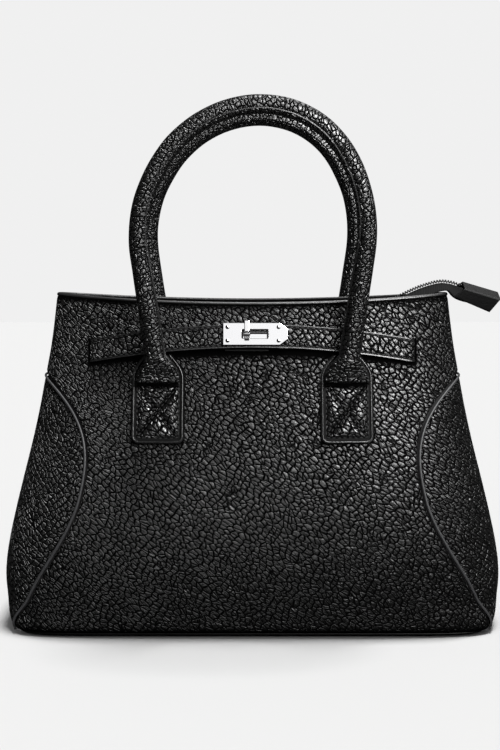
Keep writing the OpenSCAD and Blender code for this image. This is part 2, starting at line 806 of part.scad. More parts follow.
// Turn at which the strip's inner edge meets the wall
function edge_turn(y) = asin(y / half_depth(zip_h, strip_deep));
module front_zip_strip() {
    start = edge_turn(strip_y) * 1.12;
    points = [for (c = [0:strip_cols])
        let (p = wall(mix(start, 180 - start, c / strip_cols), strip_high, strip_deep))
        [p[0], p[1]]];
    color(cloth_black) translate([0, 0, strip_low]) linear_extrude(strip_t)
        polygon(concat(points, [[points[strip_cols][0], -strip_y], [points[0][0], -strip_y]]));
}

module back_zip_strip() {
    mirror([0, 1, 0]) front_zip_strip();
}

module front_zip_tape() {
    color(cloth_black) translate([coil_start, -tape_y - tape_w, zip_h - tape_t / 2])
        cube([coil_end - coil_start, tape_w, tape_t]);
}

module back_zip_tape() {
    mirror([0, 1, 0]) front_zip_tape();
}

module front_zip_coil() {
    color(cloth_black) translate([coil_start, -coil_y, zip_h]) rotate([0, 90, 0])
        cylinder(r = coil_r, h = coil_end - coil_start);
}

module back_zip_coil() {
    mirror([0, 1, 0]) front_zip_coil();
}

patch_len = 16;
module zip_start_patch() {
    right = slider_x - slider_len / 2 - seam_gap;
    color(hide_black) translate([right - patch_len, -strip_y + layer_gap, strip_low])
        cube([patch_len, 2 * (strip_y - layer_gap), strip_t]);
}

slider_plate_t = 1.2;
slider_gap = coil_r + seam_gap;
slider_nose = 3;
bail_r = 2;
bail_t = 2.4;
bail_h = slider_gap + slider_plate_t + pin_r + strip_t;
module slider_plate() {
    linear_extrude(slider_plate_t) polygon([
        [-slider_len / 2, -slider_w / 3], [-slider_len / 2 + slider_nose, -slider_w / 2],
        [slider_len / 2, -slider_w / 2], [slider_len / 2, slider_w / 2],
        [-slider_len / 2 + slider_nose, slider_w / 2], [-slider_len / 2, slider_w / 3]]);
}

module zip_slider() {
    post_x = coil_start - slider_x - seam_gap;
    color(steel) translate([slider_x, 0, zip_h]) difference() {
        union() {
            translate([0, 0, slider_gap]) slider_plate();
            translate([0, 0, -slider_gap - slider_plate_t]) slider_plate();
            translate([-slider_len / 2, -bail_t / 2, -slider_gap - slider_plate_t / 2])
                cube([post_x + slider_len / 2, bail_t, 2 * slider_gap + slider_plate_t]);
            translate([-bail_r, -bail_t / 2, slider_gap + slider_plate_t / 2])
                cube([2 * bail_r, bail_t, bail_h - slider_gap - slider_plate_t / 2]);
            translate([0, 0, bail_h]) rotate([90, 0, 0])
                cylinder(r = bail_r, h = bail_t, center = true);
        }
        translate([0, 0, bail_h]) rotate([90, 0, 0])
            cylinder(r = pin_r + running_gap, h = bail_t + 2 * overrun, center = true);
    }
}

puller_t = 1.4;
arm_w = 1;
module zip_puller() {
    fork = bail_r + 2 * seam_gap;
    arm_y = bail_t / 2 + seam_gap;
    color(steel) translate([slider_x, 0, zip_h + bail_h]) {
        rotate([90, 0, 0]) cylinder(r = pin_r, h = 2 * arm_y + arm_w, center = true);
        for (side = [-1, 1]) translate([0, side * (arm_y + arm_w / 2), 0]) rotate([90, 0, 0])
            cylinder(r = pin_r + arm_w / 3, h = arm_w, center = true);
        translate([0, 0, -puller_t / 2]) linear_extrude(puller_t) difference() {
            union() {
                for (side = [-1, 1])
                    translate([-fork - arm_w, side * (arm_y + arm_w / 2) - arm_w / 2])
                        square([fork + arm_w, arm_w]);
                translate([-puller_len + puller_w / 2, 0]) circle(d = puller_w);
                translate([-puller_len + puller_w / 2, -puller_w / 2])
                    square([puller_len - puller_w / 2 - fork, puller_w]);
            }
            translate([-puller_len + puller_w / 2, 0]) circle(d = puller_w / 2.5);
        }
    }
}

// The zip's tail, from the end of the zip up and over the rim: shares of the way to the
// rim, of the crest's height, of half the width, and of that for the drop of the sides,
// where zero rests the sides on the rim
rim_x = rim_len / 2;
crest = body_h - zip_h + tail_arch;
tail_inner_shares = [
    [0, 0.044, 0.88, 0.06], [0.1, 0.142, 1, 0.18], [0.21, 0.33, 1, 0.37],
    [0.34, 0.51, 0.98, 0.62], [0.47, 0.67, 0.92, 0.86], [0.63, 0.83, 0.79, 0.84],
    [0.78, 0.94, 0.67, 0.75], [0.91, 1, 0.56, 0], [1.01, 0.985, 0.54, 0]
];
// The same past the rim, as shares of the distance to the tail's end
tail_outer_shares = [
    [0.25, 0.945, 0.54, 1], [0.53, 0.87, 0.5, 1.1], [1, 0.775, 0.41, 1.04]
];
function tail_station(x, s) = let (high = crest * s[1], half = tail_w / 2)
    [x, high, half * s[2],
     s[3] > 0 ? half * s[3] : high - (body_h - zip_h) - tape_t - fold_gap];
tail_path = concat(
    [for (s = tail_inner_shares) tail_station(mix(tail_x, rim_x, s[0]), s)],
    [for (s = tail_outer_shares) tail_station(rim_x + tail_past * s[0], s)]);
module zip_tail_tape() {
    function ring(s, down) = [
        [s[0], -s[2], zip_h + s[1] - s[3] - down], [s[0], 0, zip_h + s[1] - down],
        [s[0], s[2], zip_h + s[1] - s[3] - down]];
    color(cloth_black)
        sheet([for (s = tail_path) ring(s, 0)], [for (s = tail_path) ring(s, tape_t)]);
}

tail_sides = 10;
module zip_tail_coil() {
    n = len(tail_path) - 2;
    lift = coil_r + layer_gap;
    function ridge(k) = [tail_path[k][0], 0, zip_h + tail_path[k][1]];
    function along(k) = unit(ridge(min(k + 1, n)) - ridge(max(k - 1, 0)));
    color(cloth_black) rings_solid([for (k = [0:n]) let (up = cross(along(k), [0, 1, 0]))
        [for (c = [0:tail_sides - 1]) let (a = 360 * c / tail_sides)
            ridge(k) + lift * up + coil_r * (cos(a) * [0, 1, 0] - sin(a) * up)]]);
}

// The tab folded over the tail's end, with its top and two flaps
end_tab_sink = 1.4;
end_tab_tilt = 2.2;
end_tab_spread = 1;
module zip_end_tab() {
    start = [rim_x + end_tab_past, crest - end_tab_sink];
    ends = [start, start + [end_tab_len, -end_tab_fall]];
    drops = [end_tab_drop, end_tab_end_drop];
    function corner(k, side, flap, t) = [
        ends[k][0] - flap * end_tab_slant,
        side * (end_tab_w / 2 + flap * end_tab_spread - t),
        zip_h + ends[k][1] + side * end_tab_tilt - flap * drops[k] - (1 - flap) * t];
    function grid(t) = [for (k = [1, 0]) [
        corner(k, 1, 1, t), corner(k, 1, 0, t), corner(k, -1, 0, t), corner(k, -1, 1, t)]];
    color(hide_black) sheet(grid(0), grid(end_tab_t));
}

front_panel();
back_panel();
left_wing_panel();
right_wing_panel();
left_wing_piping();
right_wing_piping();
base_panel();
base_welt();
base_board();
front_lining();
back_lining();
lining_floor();
front_facing();
back_facing();
front_rim_binding();
back_rim_binding();
front_left_tab();
front_right_tab();
back_left_tab();
back_right_tab();
front_tab_backings();
back_tab_backings();
front_handle_cover();
front_handle_core();
back_handle_cover();
back_handle_core();
belt_left();
belt_right();
belt_anchors();
clasp_plate();
clasp_screws();
clasp_base();
clasp_rod();
clasp_toggle();
front_zip_strip();
back_zip_strip();
front_zip_tape();
back_zip_tape();
front_zip_coil();
back_zip_coil();
zip_start_patch();
zip_slider();
zip_puller();
zip_tail_tape();
zip_tail_coil();
zip_end_tab();
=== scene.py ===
"""Top handle bag in pebbled leather, with a belt, a toggle clasp and a recessed zip."""

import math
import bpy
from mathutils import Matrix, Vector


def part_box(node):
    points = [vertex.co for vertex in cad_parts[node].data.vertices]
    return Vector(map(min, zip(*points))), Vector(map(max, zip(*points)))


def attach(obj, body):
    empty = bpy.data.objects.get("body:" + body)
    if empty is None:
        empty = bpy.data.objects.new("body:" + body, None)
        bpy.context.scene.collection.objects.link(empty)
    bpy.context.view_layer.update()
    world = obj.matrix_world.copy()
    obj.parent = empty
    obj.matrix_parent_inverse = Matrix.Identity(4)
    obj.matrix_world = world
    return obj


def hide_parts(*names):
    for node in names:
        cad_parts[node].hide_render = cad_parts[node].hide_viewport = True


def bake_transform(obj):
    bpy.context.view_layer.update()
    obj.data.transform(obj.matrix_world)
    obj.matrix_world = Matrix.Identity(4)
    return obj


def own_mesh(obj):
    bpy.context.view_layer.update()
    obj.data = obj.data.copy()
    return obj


bl_info = {
    "name": "Top Handle Bag",
    "version": (1, 0, 0),
    "blender": (4, 5, 0),
    "location": "View3D > Sidebar > Bag",
    "description": "Builds the leather, stitching and metal of a top handle bag around its packed solids",
    "category": "Object",
}

import bmesh
import bpy
from bpy.props import FloatProperty, FloatVectorProperty, PointerProperty
from mathutils import Matrix, Vector, kdtree, noise

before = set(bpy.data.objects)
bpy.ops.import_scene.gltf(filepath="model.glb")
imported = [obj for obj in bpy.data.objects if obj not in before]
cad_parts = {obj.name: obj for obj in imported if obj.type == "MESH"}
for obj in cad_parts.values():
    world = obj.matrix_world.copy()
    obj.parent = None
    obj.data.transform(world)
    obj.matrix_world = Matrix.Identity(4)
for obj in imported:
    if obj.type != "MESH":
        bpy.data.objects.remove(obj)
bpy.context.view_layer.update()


def length(name, value, description):
    return FloatProperty(name=name, description=description, default=value, unit="LENGTH", precision=5)


def number(name, value, description):
    return FloatProperty(name=name, description=description, default=value, precision=4)


def angle(name, degrees, description):
    return FloatProperty(name=name, description=description, default=math.radians(degrees), subtype="ANGLE")


def colour(name, value, description):
    return FloatVectorProperty(
        name=name, description=description, default=value, size=4, min=0.0, max=1.0, subtype="COLOR")


def grey(level):
    return (level, level, level, 1)


class BodySizes(bpy.types.PropertyGroup):
    """The shell of the bag."""
    height: length("Body height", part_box("front_rim_binding")[1].z, "Height of the rim at the sides")
    rim_dip: length("Rim dip", 0.0055, "How far the rim dips at the middle of the front")
    foot_length: length("Foot length", 0.307, "Length of the body at the foot")
    bulge_length: length("Bulge length", 0.3352, "Length of the body at its widest")
    rim_length: length("Rim length", 0.266, "Length of the body at the rim")
    foot_depth: length("Foot depth", 0.123, "Depth of the body at the foot")
    bulge_depth: length("Bulge depth", 0.132, "Depth of the body at its widest")
    corner_height: length("Corner height", 0.025, "Height over which the tight corners of the foot die out")
    rim_depth: length("Rim depth", 0.052, "Depth of the body at the rim")
    bulge_height: length("Bulge height", 0.035, "Height at which the body is widest")
    leather: length("Leather", 0.002, "Thickness of the outer leather")
    facing: length("Facing", 0.0012, "Thickness of the inner facing at the rim")
    facing_height: length("Facing height", 0.024, "Height of the facing")
    lining: length("Lining", 0.0007, "Thickness of the lining")
    rim_edge: length("Rim edge", 0.0024, "Height of the rolled edge along the rim")
    layer_gap: length("Layer gap", 0.0001, "Room between two layers")
    seam_gap: length("Seam gap", 0.00025, "Room between a panel and its seam")
    seam_roll: length("Seam roll", 0.0021, "Width over which a panel rolls into its seam")
    seam_sink: length("Seam sink", 0.0012, "Depth to which a panel rolls into its seam")
    slack: length("Slack", 0.0006, "How far the soft leather wanders off its true shape")
    foot_square: number("Foot squareness", 5, "How square the body is at the foot, where 2 is round")
    rim_square: number("Rim squareness", 2, "The same at the rim")
    corner_square: number("Corner squareness", 6, "How much squarer the tight corners of the foot are")


class WingSizes(bpy.types.PropertyGroup):
    """The side panels and the piping round them."""
    height: length("Wing height", 0.1668, "Height of the wing's rounded top")
    widest: length("Widest height", 0.0884, "Height at which the wing reaches furthest round")
    reach: angle("Reach", 52, "How far round the corner the wing reaches")
    foot_reach: angle("Foot reach", 38, "The same at the foot")
    piping: length("Piping", 0.0016, "Width of the piping in the seam")
    piping_proud: length("Piping proud", 0.0009, "How far the piping stands proud")


class BaseSizes(bpy.types.PropertyGroup):
    """The base and its welt."""
    leather: length("Base leather", 0.0024, "Thickness of the base leather")
    welt_proud: length("Welt proud", 0.001, "How far the welt stands proud of the foot")
    welt_under: length("Welt under", 0.0016, "How far the welt reaches under the foot")
    welt_height: length("Welt height", 0.0016, "Height of the welt")
    welt_lift: length("Welt lift", 0.0011, "Height of the welt off the floor")


class HandleSizes(bpy.types.PropertyGroup):
    """The handles and the tabs that hold them."""
    thickness: length("Thickness", 0.0124, "Thickness of the rolled handle")
    rise: length("Rise", 0.1804, "Height of the handle above its crease")
    span: length("Span", 0.1478, "Widest distance between the outer sides, less one roll")
    widest: length("Widest height", 0.0972, "Height above the crease at which the handle is widest")
    sway: length("Sway", 0.005, "How far the top of the arch leans to the right")
    sway_start: length("Sway start", 0.076, "Height above the crease where the arch starts to lean")
    crown: length("Crown radius", 0.0693, "Radius of the crown's centre line")
    splay: angle("Splay", 8.2, "Lean of the legs below their widest part")
    foot_spread: length("Foot spread", 0.124, "Distance between the two feet")
    crease_height: length("Crease height", 0.164, "Height of the crease above the floor")
    crease_width: length("Crease width", 0.029, "Width of the flat end at the crease")
    crease_thickness: length("Crease thickness", 0.005, "Thickness of the flat end at the crease")
    crease_set: length("Crease set", 0.0015, "How far the flat end is set back towards the tab")
    centre: length("Centre line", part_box("front_handle_core")[0].y + 0.0045, "Place of the roll's middle")
    seam: length("Seam ridge", 0.0007, "How far the sewn seam stands off the roll")
    tab_width: length("Tab width", 0.033, "Width of a tab")
    tab_low: length("Tab low end", 0.127, "Height of a tab's low end")
    tab_shoulder: length("Tab shoulder", 0.1826, "Height of a tab's shoulder")
    shoulder_width: length("Shoulder width", 0.016, "Width of a tab at its shoulder")
    tab: length("Tab thickness", 0.0022, "Thickness of a tab")
    tab_corner: length("Tab corner", 0.004, "Radius of a tab's corners")
    border: length("Tab border", 0.0009, "Width of the painted border round a tab")
    border_rise: length("Border rise", 0.0003, "How far the painted border swells")
    groove: length("Tab groove", 0.0007, "Depth of the groove inside the border")
    puff: length("Puff", 0.0019, "How far the tab's field swells between its rows of stitches")


class BeltSizes(bpy.types.PropertyGroup):
    """The belt."""
    width: length("Belt width", 0.0148, "Width of the belt")
    thickness: length("Belt thickness", 0.0018, "Thickness of the belt")
    slit: length("Slit", 0.1068, "Distance of the slits from the middle")
    end_height: length("End height", 0.1851, "Height of the belt at the slits")
    middle_height: length("Middle height", 0.1954, "Height of the belt at the clasp")
    lift: length("Lift", 0.0003, "How far the belt lies off the front at the slits")
    groove: length("Groove", 0.0014, "Distance of the groove and its stitches from the belt's edge")
    groove_depth: length("Groove depth", 0.0005, "Depth of the groove along the belt's edge")


class ClaspSizes(bpy.types.PropertyGroup):
    """The clasp's plates, screws, rod and toggle."""
    base: length("Clasp base", 0.0012, "Thickness of the plate behind the belt")
    plate_left: length("Plate left", 0.0193, "Reach of the plate to the left of the middle")
    plate_right: length("Plate right", 0.0233, "Reach of the plate to the right of the middle")
    plate_height: length("Plate height", 0.0148, "Height of the plate")
    plate: length("Plate thickness", 0.0012, "Thickness of the plate")
    point: length("Point length", 0.0054, "Length of the plate's pointed end")
    point_height: length("Point height", 0.004, "Height of each slanted side of the point")
    window_left: length("Window left", -0.0069, "Place of the window's left side")
    window_length: length("Window length", 0.0173, "Length of the window")
    window_height: length("Window height", 0.0062, "Height of the window")
    window_corner: length("Window corner", 0.0009, "Radius of the window's corners")
    play: length("Play", 0.0001, "Room between two parts of the clasp")
    rod: length("Rod", 0.0009, "Radius of the rod")
    rod_drop: length("Rod drop", 0.0004, "How far the rod lies below the middle")
    stub_low: length("Stub back", 0.0016, "Depth of the back of the rod's flat stubs below the face")
    stub_high: length("Stub face", 0.0004, "Depth of the front of the stubs below the face")
    wire: length("Wire", 0.0004, "Radius of the thin wire in the window")
    wire_rise: length("Wire rise", 0.0014, "Height of the wire above the middle")
    wire_sink: length("Wire sink", 0.0022, "Depth of the wire below the face")
    knob: length("Knob", 0.0013, "Radius of the knob below the rod")
    knob_drop: length("Knob drop", 0.0027, "How far the knob lies below the rod")
    knob_proud: length("Knob proud", 0.0008, "How far the knob's middle lies off the face")
    toggle_inset: length("Toggle inset", 0.0015, "Distance of the toggle from the window's left side")
    toggle_width: length("Toggle width", 0.0034, "Width of the toggle")
    toggle_low: length("Toggle low end", 0.0012, "Height of the arm's low end above the middle")
    toggle_past: length("Toggle past", 0.0014, "Reach of the arm past the plate's upper edge")
    toggle_off: length("Toggle off", 0.0004, "Room between the arm and the face")
    toggle_face: length("Toggle face", 0.0022, "Height of the arm's front off the face")
    collar: length("Collar", 0.0024, "Radius of the toggle's knuckle")
    bore: length("Bore", 0.0011, "Radius of the hole through the knuckle")
    screw: length("Screw head", 0.00135, "Radius of a screw's head")
    screw_dome: length("Screw dome", 0.0008, "Height of a screw's head")
    screw_inset: length("Screw inset", 0.0029, "Distance of the screws from the plate's edge")


class ZipSizes(bpy.types.PropertyGroup):
    """The zip, its tail and the tab at the tail's end."""
    height: length("Zip height", 0.2047, "Height of the zip")
    coil: length("Coil", 0.0012, "Radius of a coil")
    pitch: length("Coil pitch", 0.0016, "Distance between two loops of a coil")
    wire: length("Coil wire", 0.00042, "Radius of the coil's thread")
    tail_pitch: length("Tail coil pitch", 0.0019, "Distance between two loops of the tail's coil")
    tail_wire: length("Tail coil wire", 0.000462, "Radius of the thread of the tail's coil")
    tape_width: length("Tape width", 0.012, "Width of a tape")
    tape: length("Tape thickness", 0.0007, "Thickness of a tape")
    strip: length("Strip", 0.001, "Thickness of the strips beside the zip")
    start: length("Zip start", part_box("front_zip_coil")[0].x, "Place of the first loop")
    end: length("Zip end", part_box("front_zip_coil")[1].x, "Place of the last loop before the tail")
    tail_arch: length("Tail arch", 0.0062, "Height of the tail's crest above the rim")
    tail_width: length("Tail width", 0.0164, "Width of the tail's tape")
    tail_past: length("Tail past the rim", 0.0184, "Reach of the tail past the rim")
    tab_past: length("Tab past the rim", 0.0114, "Where the end tab starts past the rim")
    tab_length: length("Tab length", 0.0244, "Length of the end tab")
    tab_fall: length("Tab fall", 0.0072, "How far the end tab falls along its length")
    tab_width: length("Tab width", 0.0112, "Width of the end tab's top")
    tab_sink: length("Tab sink", 0.0014, "How far the end tab lies below the tail's crest")
    tab_tilt: length("Tab tilt", 0.0022, "How far the end tab's top tilts forwards")
    tab_drop: length("Tab drop", 0.0056, "Height of the end tab's flaps at the tail")
    tab_end_drop: length("Tab end drop", 0.0088, "Height of the end tab's flaps at the far end")
    tab_slant: length("Tab slant", 0.0076, "How far the flaps slant back")
    tab: length("Tab thickness", 0.0015, "Thickness of the end tab")
    tab_flare: length("Tab flare", 0.001, "How far the end tab's flaps stand apart at their ends")


class StitchSizes(bpy.types.PropertyGroup):
    """Thread and stitches."""
    length: length("Stitch length", 0.0027, "Length of a stitch")
    gap: length("Stitch gap", 0.0009, "Distance between two stitches")
    thread: length("Thread", 0.00035, "Radius of the thread")
    edge: length("Edge distance", 0.0028, "Distance of a row of stitches from the edge")


class Finishes(bpy.types.PropertyGroup):
    """Colours and grain."""
    hide: colour("Leather", (0.0075, 0.0073, 0.0070, 1), "Colour of the leather on the tops of its grain")
    # Painted shade: the colour in the creases between the grains, where the bumps alone cast no shade.
    crease: colour("Leather creases", grey(0.0008), "Colour of the leather between the grains")
    shine: number("Leather shine", 0.5, "Strength of the leather's highlights")
    edge: colour("Painted edge", grey(0.022), "Colour of the painted edges")
    thread: colour("Thread", grey(0.006), "Colour of the thread")
    cloth: colour("Lining cloth", (0.02, 0.02, 0.021, 1), "Colour of the lining")
    tape: colour("Zip tape", (0.012, 0.012, 0.013, 1), "Colour of the zip's tape")
    steel: colour("Polished steel", grey(0.92), "Colour of the polished metal")
    floor: colour("Floor", (0.82, 0.82, 0.818, 1), "Colour of the floor")
    grain: length("Grain", 0.00265, "Distance between two grains of the leather")
    grain_depth: length("Grain depth", 0.00068, "Depth of the creases between the grains")


class Camera(bpy.types.PropertyGroup):
    """The place and lens of the camera."""
    place: FloatVectorProperty(
        name="Place", description="Place of the camera", default=(-0.0016, -0.880, 0.26128), subtype="XYZ",
        unit="LENGTH")
    pitch: angle("Pitch", 6.202, "How far the camera looks down")
    lens: number("Lens", 61.752, "Focal length in millimetres")


class Lights(bpy.types.PropertyGroup):
    """The light on the stage."""
    behind: number("Background", 0.872, "Brightness of the background")
    around: number("Around", 0.2, "Brightness of the soft light from all sides")
    reflected: number("Reflected", 0.05, "Brightness of the surroundings in reflections")
    sun: number("Sun", 2.86, "Strength of the soft light from above")
    sun_width: angle("Sun width", 17, "Width of the soft light from above")
    key: number("Key", 38.0, "Brightness of the card above on the right")
    key_azimuth: angle("Key azimuth", 34, "How far the key is turned to the right")
    key_height: angle("Key height", 36, "How high the key is")
    card: number("Card", 1.02, "Brightness of the card in front")
    card_azimuth: angle("Card azimuth", 2, "How far the card is turned to the right")
    card_height: angle("Card height", 25, "How high the card is")
    rim: number("Rim light", 3.0, "Brightness of the card behind the bag")


# Shape


def mix(a, b, share):
    return a + (b - a) * share


def clamp(value, low=0.0, high=1.0):
    return min(max(value, low), high)


def smooth(share):
    share = clamp(share)
    return share * share * (3 - 2 * share)


def spread(start, end, count):
    """Places from start to end with count steps."""
    return [mix(start, end, k / count) for k in range(count + 1)]


def squareness(turn, n):
    """Radius at a turn of a shape that is round where n is 2, and squarer as n grows."""
    return (abs(math.cos(turn)) ** n + abs(math.sin(turn)) ** n) ** (-1 / n)


def bezier(shares, t):
    a, b, c, d = shares
    return (1 - t) ** 3 * a + 3 * (1 - t) ** 2 * t * b + 3 * (1 - t) * t * t * c + t**3 * d


class Body:
    """The outer face of the bag by turn, height and depth. Turn is 0 at the right side and a
    quarter turn at the front, and depth is inwards."""

    length_shares = ((0, 0, 0.70, 1), (0, 0.18, 0.50, 1))
    depth_shares = ((0, 0, 0.73, 1), (0, 0.32, 0.68, 1))

    def __init__(self, scene):
        self.size = scene.bag_body
        self.wing = scene.bag_wing
        size = self.size
        self.lengths = self.profile(size.foot_length, size.bulge_length, size.rim_length, self.length_shares)
        self.depths = self.profile(size.foot_depth, size.bulge_depth, size.rim_depth, self.depth_shares)
        self.room = self.wing.piping / 2 + size.seam_gap

    def profile(self, foot, bulge, rim, shares):
        size = self.size
        low = [(size.bulge_height * (1 - math.cos(a)), mix(foot, bulge, math.sin(a)) / 2)
               for a in spread(0, math.pi / 2, 24)[:-1]]
        high = [(mix(size.bulge_height, size.height, bezier(shares[1], t)),
                 mix(bulge, rim, bezier(shares[0], t)) / 2) for t in spread(0, 1, 120)]
        return low + high

    @staticmethod
    def look_up(z, table):
        for (z0, a), (z1, b) in zip(table, table[1:]):
            if z <= z1:
                return mix(a, b, clamp((z - z0) / (z1 - z0)))
        return table[-1][1]

    def half(self, z, deep):
        return self.look_up(z, self.lengths) - deep, self.look_up(z, self.depths) - deep

    def square(self, z):
        size = self.size
        corner = clamp(1 - z / size.corner_height)
        square = mix(size.foot_square, size.rim_square, clamp(z / size.height))
        return square + size.corner_square * corner * corner

    def wall(self, turn, z, deep=0.0):
        across, through = self.half(z, deep)
        r = squareness(turn, self.square(z))
        return Vector((across * r * math.cos(turn), -through * r * math.sin(turn), z))

    def front(self, x, z, deep=0.0):
        """The same face by its distance from the middle, on the front."""
        across, through = self.half(z, deep)
        n = self.square(z)
        return Vector((x, -through * max(0.0, 1 - (abs(x) / across) ** n) ** (1 / n), z))

    def front_frame(self, z):
        """A place on the middle of the front, with its directions up and outwards."""
        step = 0.002
        up = (self.front(0, z + step) - self.front(0, z - step)).normalized()
        return self.front(0, z), up, Vector((0, -up.z, up.y))

    def rim(self, turn):
        return self.size.height - self.size.rim_dip * math.sin(turn) ** 2

    def turn_length(self, turn, z):
        step = math.radians(0.5)
        return (self.wall(turn + step, z) - self.wall(turn - step, z)).length / (2 * step)

    def side_turn(self, z):
        return math.atan(self.size.seam_gap / self.half(z, 0)[1])

    def low_turn(self, z):
        wing = self.wing
        return wing.reach - (wing.reach - wing.foot_reach) * (max(wing.widest - z, 0) / wing.widest) ** 1.6

    def seam_turn(self, z, grow):
        """Turn of the seam between a wing and the front, moved outwards from the wing."""
        wing = self.wing
        top = wing.height + grow
        if z >= top:
            return 0.0
        if z >= wing.widest:
            widest = wing.reach + grow / self.turn_length(wing.reach, wing.widest)
            return widest * (1 - ((z - wing.widest) / (top - wing.widest)) ** 2.8) ** (1 / 2.8)
        turn = self.low_turn(z)
        per_turn = self.turn_length(turn, z)
        run = per_turn * (self.low_turn(z + 0.0005) - self.low_turn(z - 0.0005)) / 0.001
        return turn + grow * math.sqrt(1 + run * run) / per_turn

    def wing_heights(self, grow, low_steps, dome_steps):
        wing = self.wing
        low = spread(self.foot(), wing.widest, low_steps)[:-1]
        top = wing.height + grow
        dome = [mix(wing.widest, top, math.sin(a)) for a in spread(0, math.pi / 2, dome_steps)[:-1]]
        return low + dome + [mix(wing.widest, top, 0.9993)]

    def foot(self):
        base = bpy.context.scene.bag_base
        return base.welt_lift + base.welt_height + self.size.layer_gap

    def seam_line(self):
        """The seam round the right wing, from the front foot over the top to the back foot."""
        front = [(self.seam_turn(z, 0), z) for z in self.wing_heights(0, 40, 30)]
        return front + [(0.0, self.wing.height)] + [(-turn, z) for turn, z in reversed(front)]


# Meshes


def finished(name, mesh, *materials):
    """The object of a finished bmesh, at the origin."""
    data = bpy.data.meshes.new(name)
    mesh.to_mesh(data)
    mesh.free()
    for polygon in data.polygons:
        polygon.use_smooth = True
    for material in materials:
        data.materials.append(material)
    rest = data.attributes.get("rest") or data.attributes.new("rest", "FLOAT_VECTOR", "POINT")
    rest.data.foreach_set("vector", [value for vert in data.vertices for value in vert.co])
    piece = bpy.data.objects.new(name, data)
    bpy.context.scene.collection.objects.link(piece)
    return piece


def distances(line, start=0):
    """Distances along a line of points, from the point at start."""
    reached = [0.0]
    for a, b in zip(line, line[1:]):
        reached.append(reached[-1] + (b - a).length)
    return [distance - reached[start] for distance in reached]


def mapped_grid(across, up, place, wrap=False, caps=False, paint=None):
    """A grid whose point (column, row) goes to place(column, row), with its lengths as UV.
    wrap joins its two sides, caps closes its two ends, and paint(column, row) gives a face's
    material."""
    mesh = bmesh.new()
    bmesh.ops.create_grid(mesh, x_segments=across, y_segments=up, size=0.5)
    points = [[place(column, row) for column in range(across + 1)] for row in range(up + 1)]
    middle = across // 2
    along = [distances(line, middle) for line in points]
    rise = distances([line[middle] for line in points], up // 2)
    cells = {}
    for vert in mesh.verts:
        cells[vert] = (round((vert.co.x + 0.5) * across), round((vert.co.y + 0.5) * up))
    if paint:
        for face in mesh.faces:
            column = min(cells[vert][0] for vert in face.verts)
            row = min(cells[vert][1] for vert in face.verts)
            face.material_index = paint(column, row)
    layer = mesh.loops.layers.uv.new("Surface")
    for face in mesh.faces:
        for loop in face.loops:
            column, row = cells[loop.vert]
            loop[layer].uv = (along[row][column], rise[row])
    for vert, (column, row) in cells.items():
        vert.co = points[row][column]
    if wrap:
        bmesh.ops.remove_doubles(mesh, verts=mesh.verts, dist=1e-7)
    if caps:
        ends = [edge for edge in mesh.edges if edge.is_boundary]
        bmesh.ops.holes_fill(mesh, edges=ends, sides=0)
    if wrap:
        bmesh.ops.recalc_face_normals(mesh, faces=mesh.faces)
    return mesh


def tube(line, radius, sides=10, start_up=Vector((0, 0, 1))):
    """A closed tube along a line of points."""
    frames = []
    up = start_up
    for k, point in enumerate(line):
        along = (line[min(k + 1, len(line) - 1)] - line[max(k - 1, 0)]).normalized()
        side = along.cross(up).normalized()
        up = side.cross(along).normalized()
        frames.append((point, side, up))

    def place(column, row):
        point, side, high = frames[row]
        a = 2 * math.pi * column / sides
        return point + radius * (math.cos(a) * side + math.sin(a) * high)

    return mapped_grid(sides, len(line) - 1, place, wrap=True, caps=True)


def add_modifier(piece, kind, **settings):
    modifier = piece.modifiers.new(kind.title(), kind)
    for key, value in settings.items():
        setattr(modifier, key, value)
    return modifier


def thicken(piece, thickness, edge=0.0, painted=False):
    """Gives a sheet its thickness inwards, and rounds its edge."""
    add_modifier(piece, "SOLIDIFY", thickness=thickness, offset=-1.0, use_even_offset=False,
                 material_offset_rim=1 if painted else 0)
    if edge:
        round_edges(piece, edge, 50)


def round_edges(piece, width, steepest):
    """Rounds the edges that turn by more than an angle in degrees."""
    add_modifier(piece, "BEVEL", width=width, segments=3, limit_method="ANGLE",
                 angle_limit=math.radians(steepest), profile=0.5, material=-1)


def mirrored(name, source, axis):
    """A copy of a piece on the other side of the bag."""
    mesh = bmesh.new()
    mesh.from_mesh(source.data)
    scale = Vector((-1 if axis == "x" else 1, -1 if axis == "y" else 1, 1))
    bmesh.ops.scale(mesh, vec=scale, verts=mesh.verts)
    bmesh.ops.reverse_faces(mesh, faces=mesh.faces)
    layer = mesh.loops.layers.uv.active
    if layer:
        for face in mesh.faces:
            for loop in face.loops:
                loop[layer].uv = (0.37 - loop[layer].uv.x, loop[layer].uv.y + 0.11)
    piece = finished(name, mesh, *source.data.materials)
    for modifier in source.modifiers:
        copy = piece.modifiers.new(modifier.name, modifier.type)
        for key in modifier.bl_rna.properties.keys():
            if not modifier.bl_rna.properties[key].is_readonly:
                setattr(copy, key, getattr(modifier, key))
    return piece


def stitch_row(mesh, line, outwards, stitches):
    """Adds a row of stitches along a line of points. outwards gives the way off the leather."""
    spans = distances(line)
    count = max(1, round(spans[-1] / (stitches.length + stitches.gap)))

    def at(distance):
        for k in range(1, len(line)):
            if distance <= spans[k] or k == len(line) - 1:
                return line[k - 1].lerp(line[k], (distance - spans[k - 1]) / (spans[k] - spans[k - 1]))

    for k in range(count):
        middle = (k + 0.5) * spans[-1] / count
        half = stitches.length / 2
        start, end = at(max(middle - half, 0)), at(min(middle + half, spans[-1]))
        along = (end - start).normalized()
        out = outwards(start.lerp(end, 0.5)).normalized()
        side = along.cross(out).normalized()
        turn = Matrix((along, side, out)).transposed().to_4x4()
        size = Matrix.Diagonal((half, stitches.thread * 1.3, stitches.thread, 1))
        bmesh.ops.create_uvsphere(mesh, u_segments=8, v_segments=5, radius=1,
                                  matrix=Matrix.Translation(start.lerp(end, 0.5)) @ turn @ size)


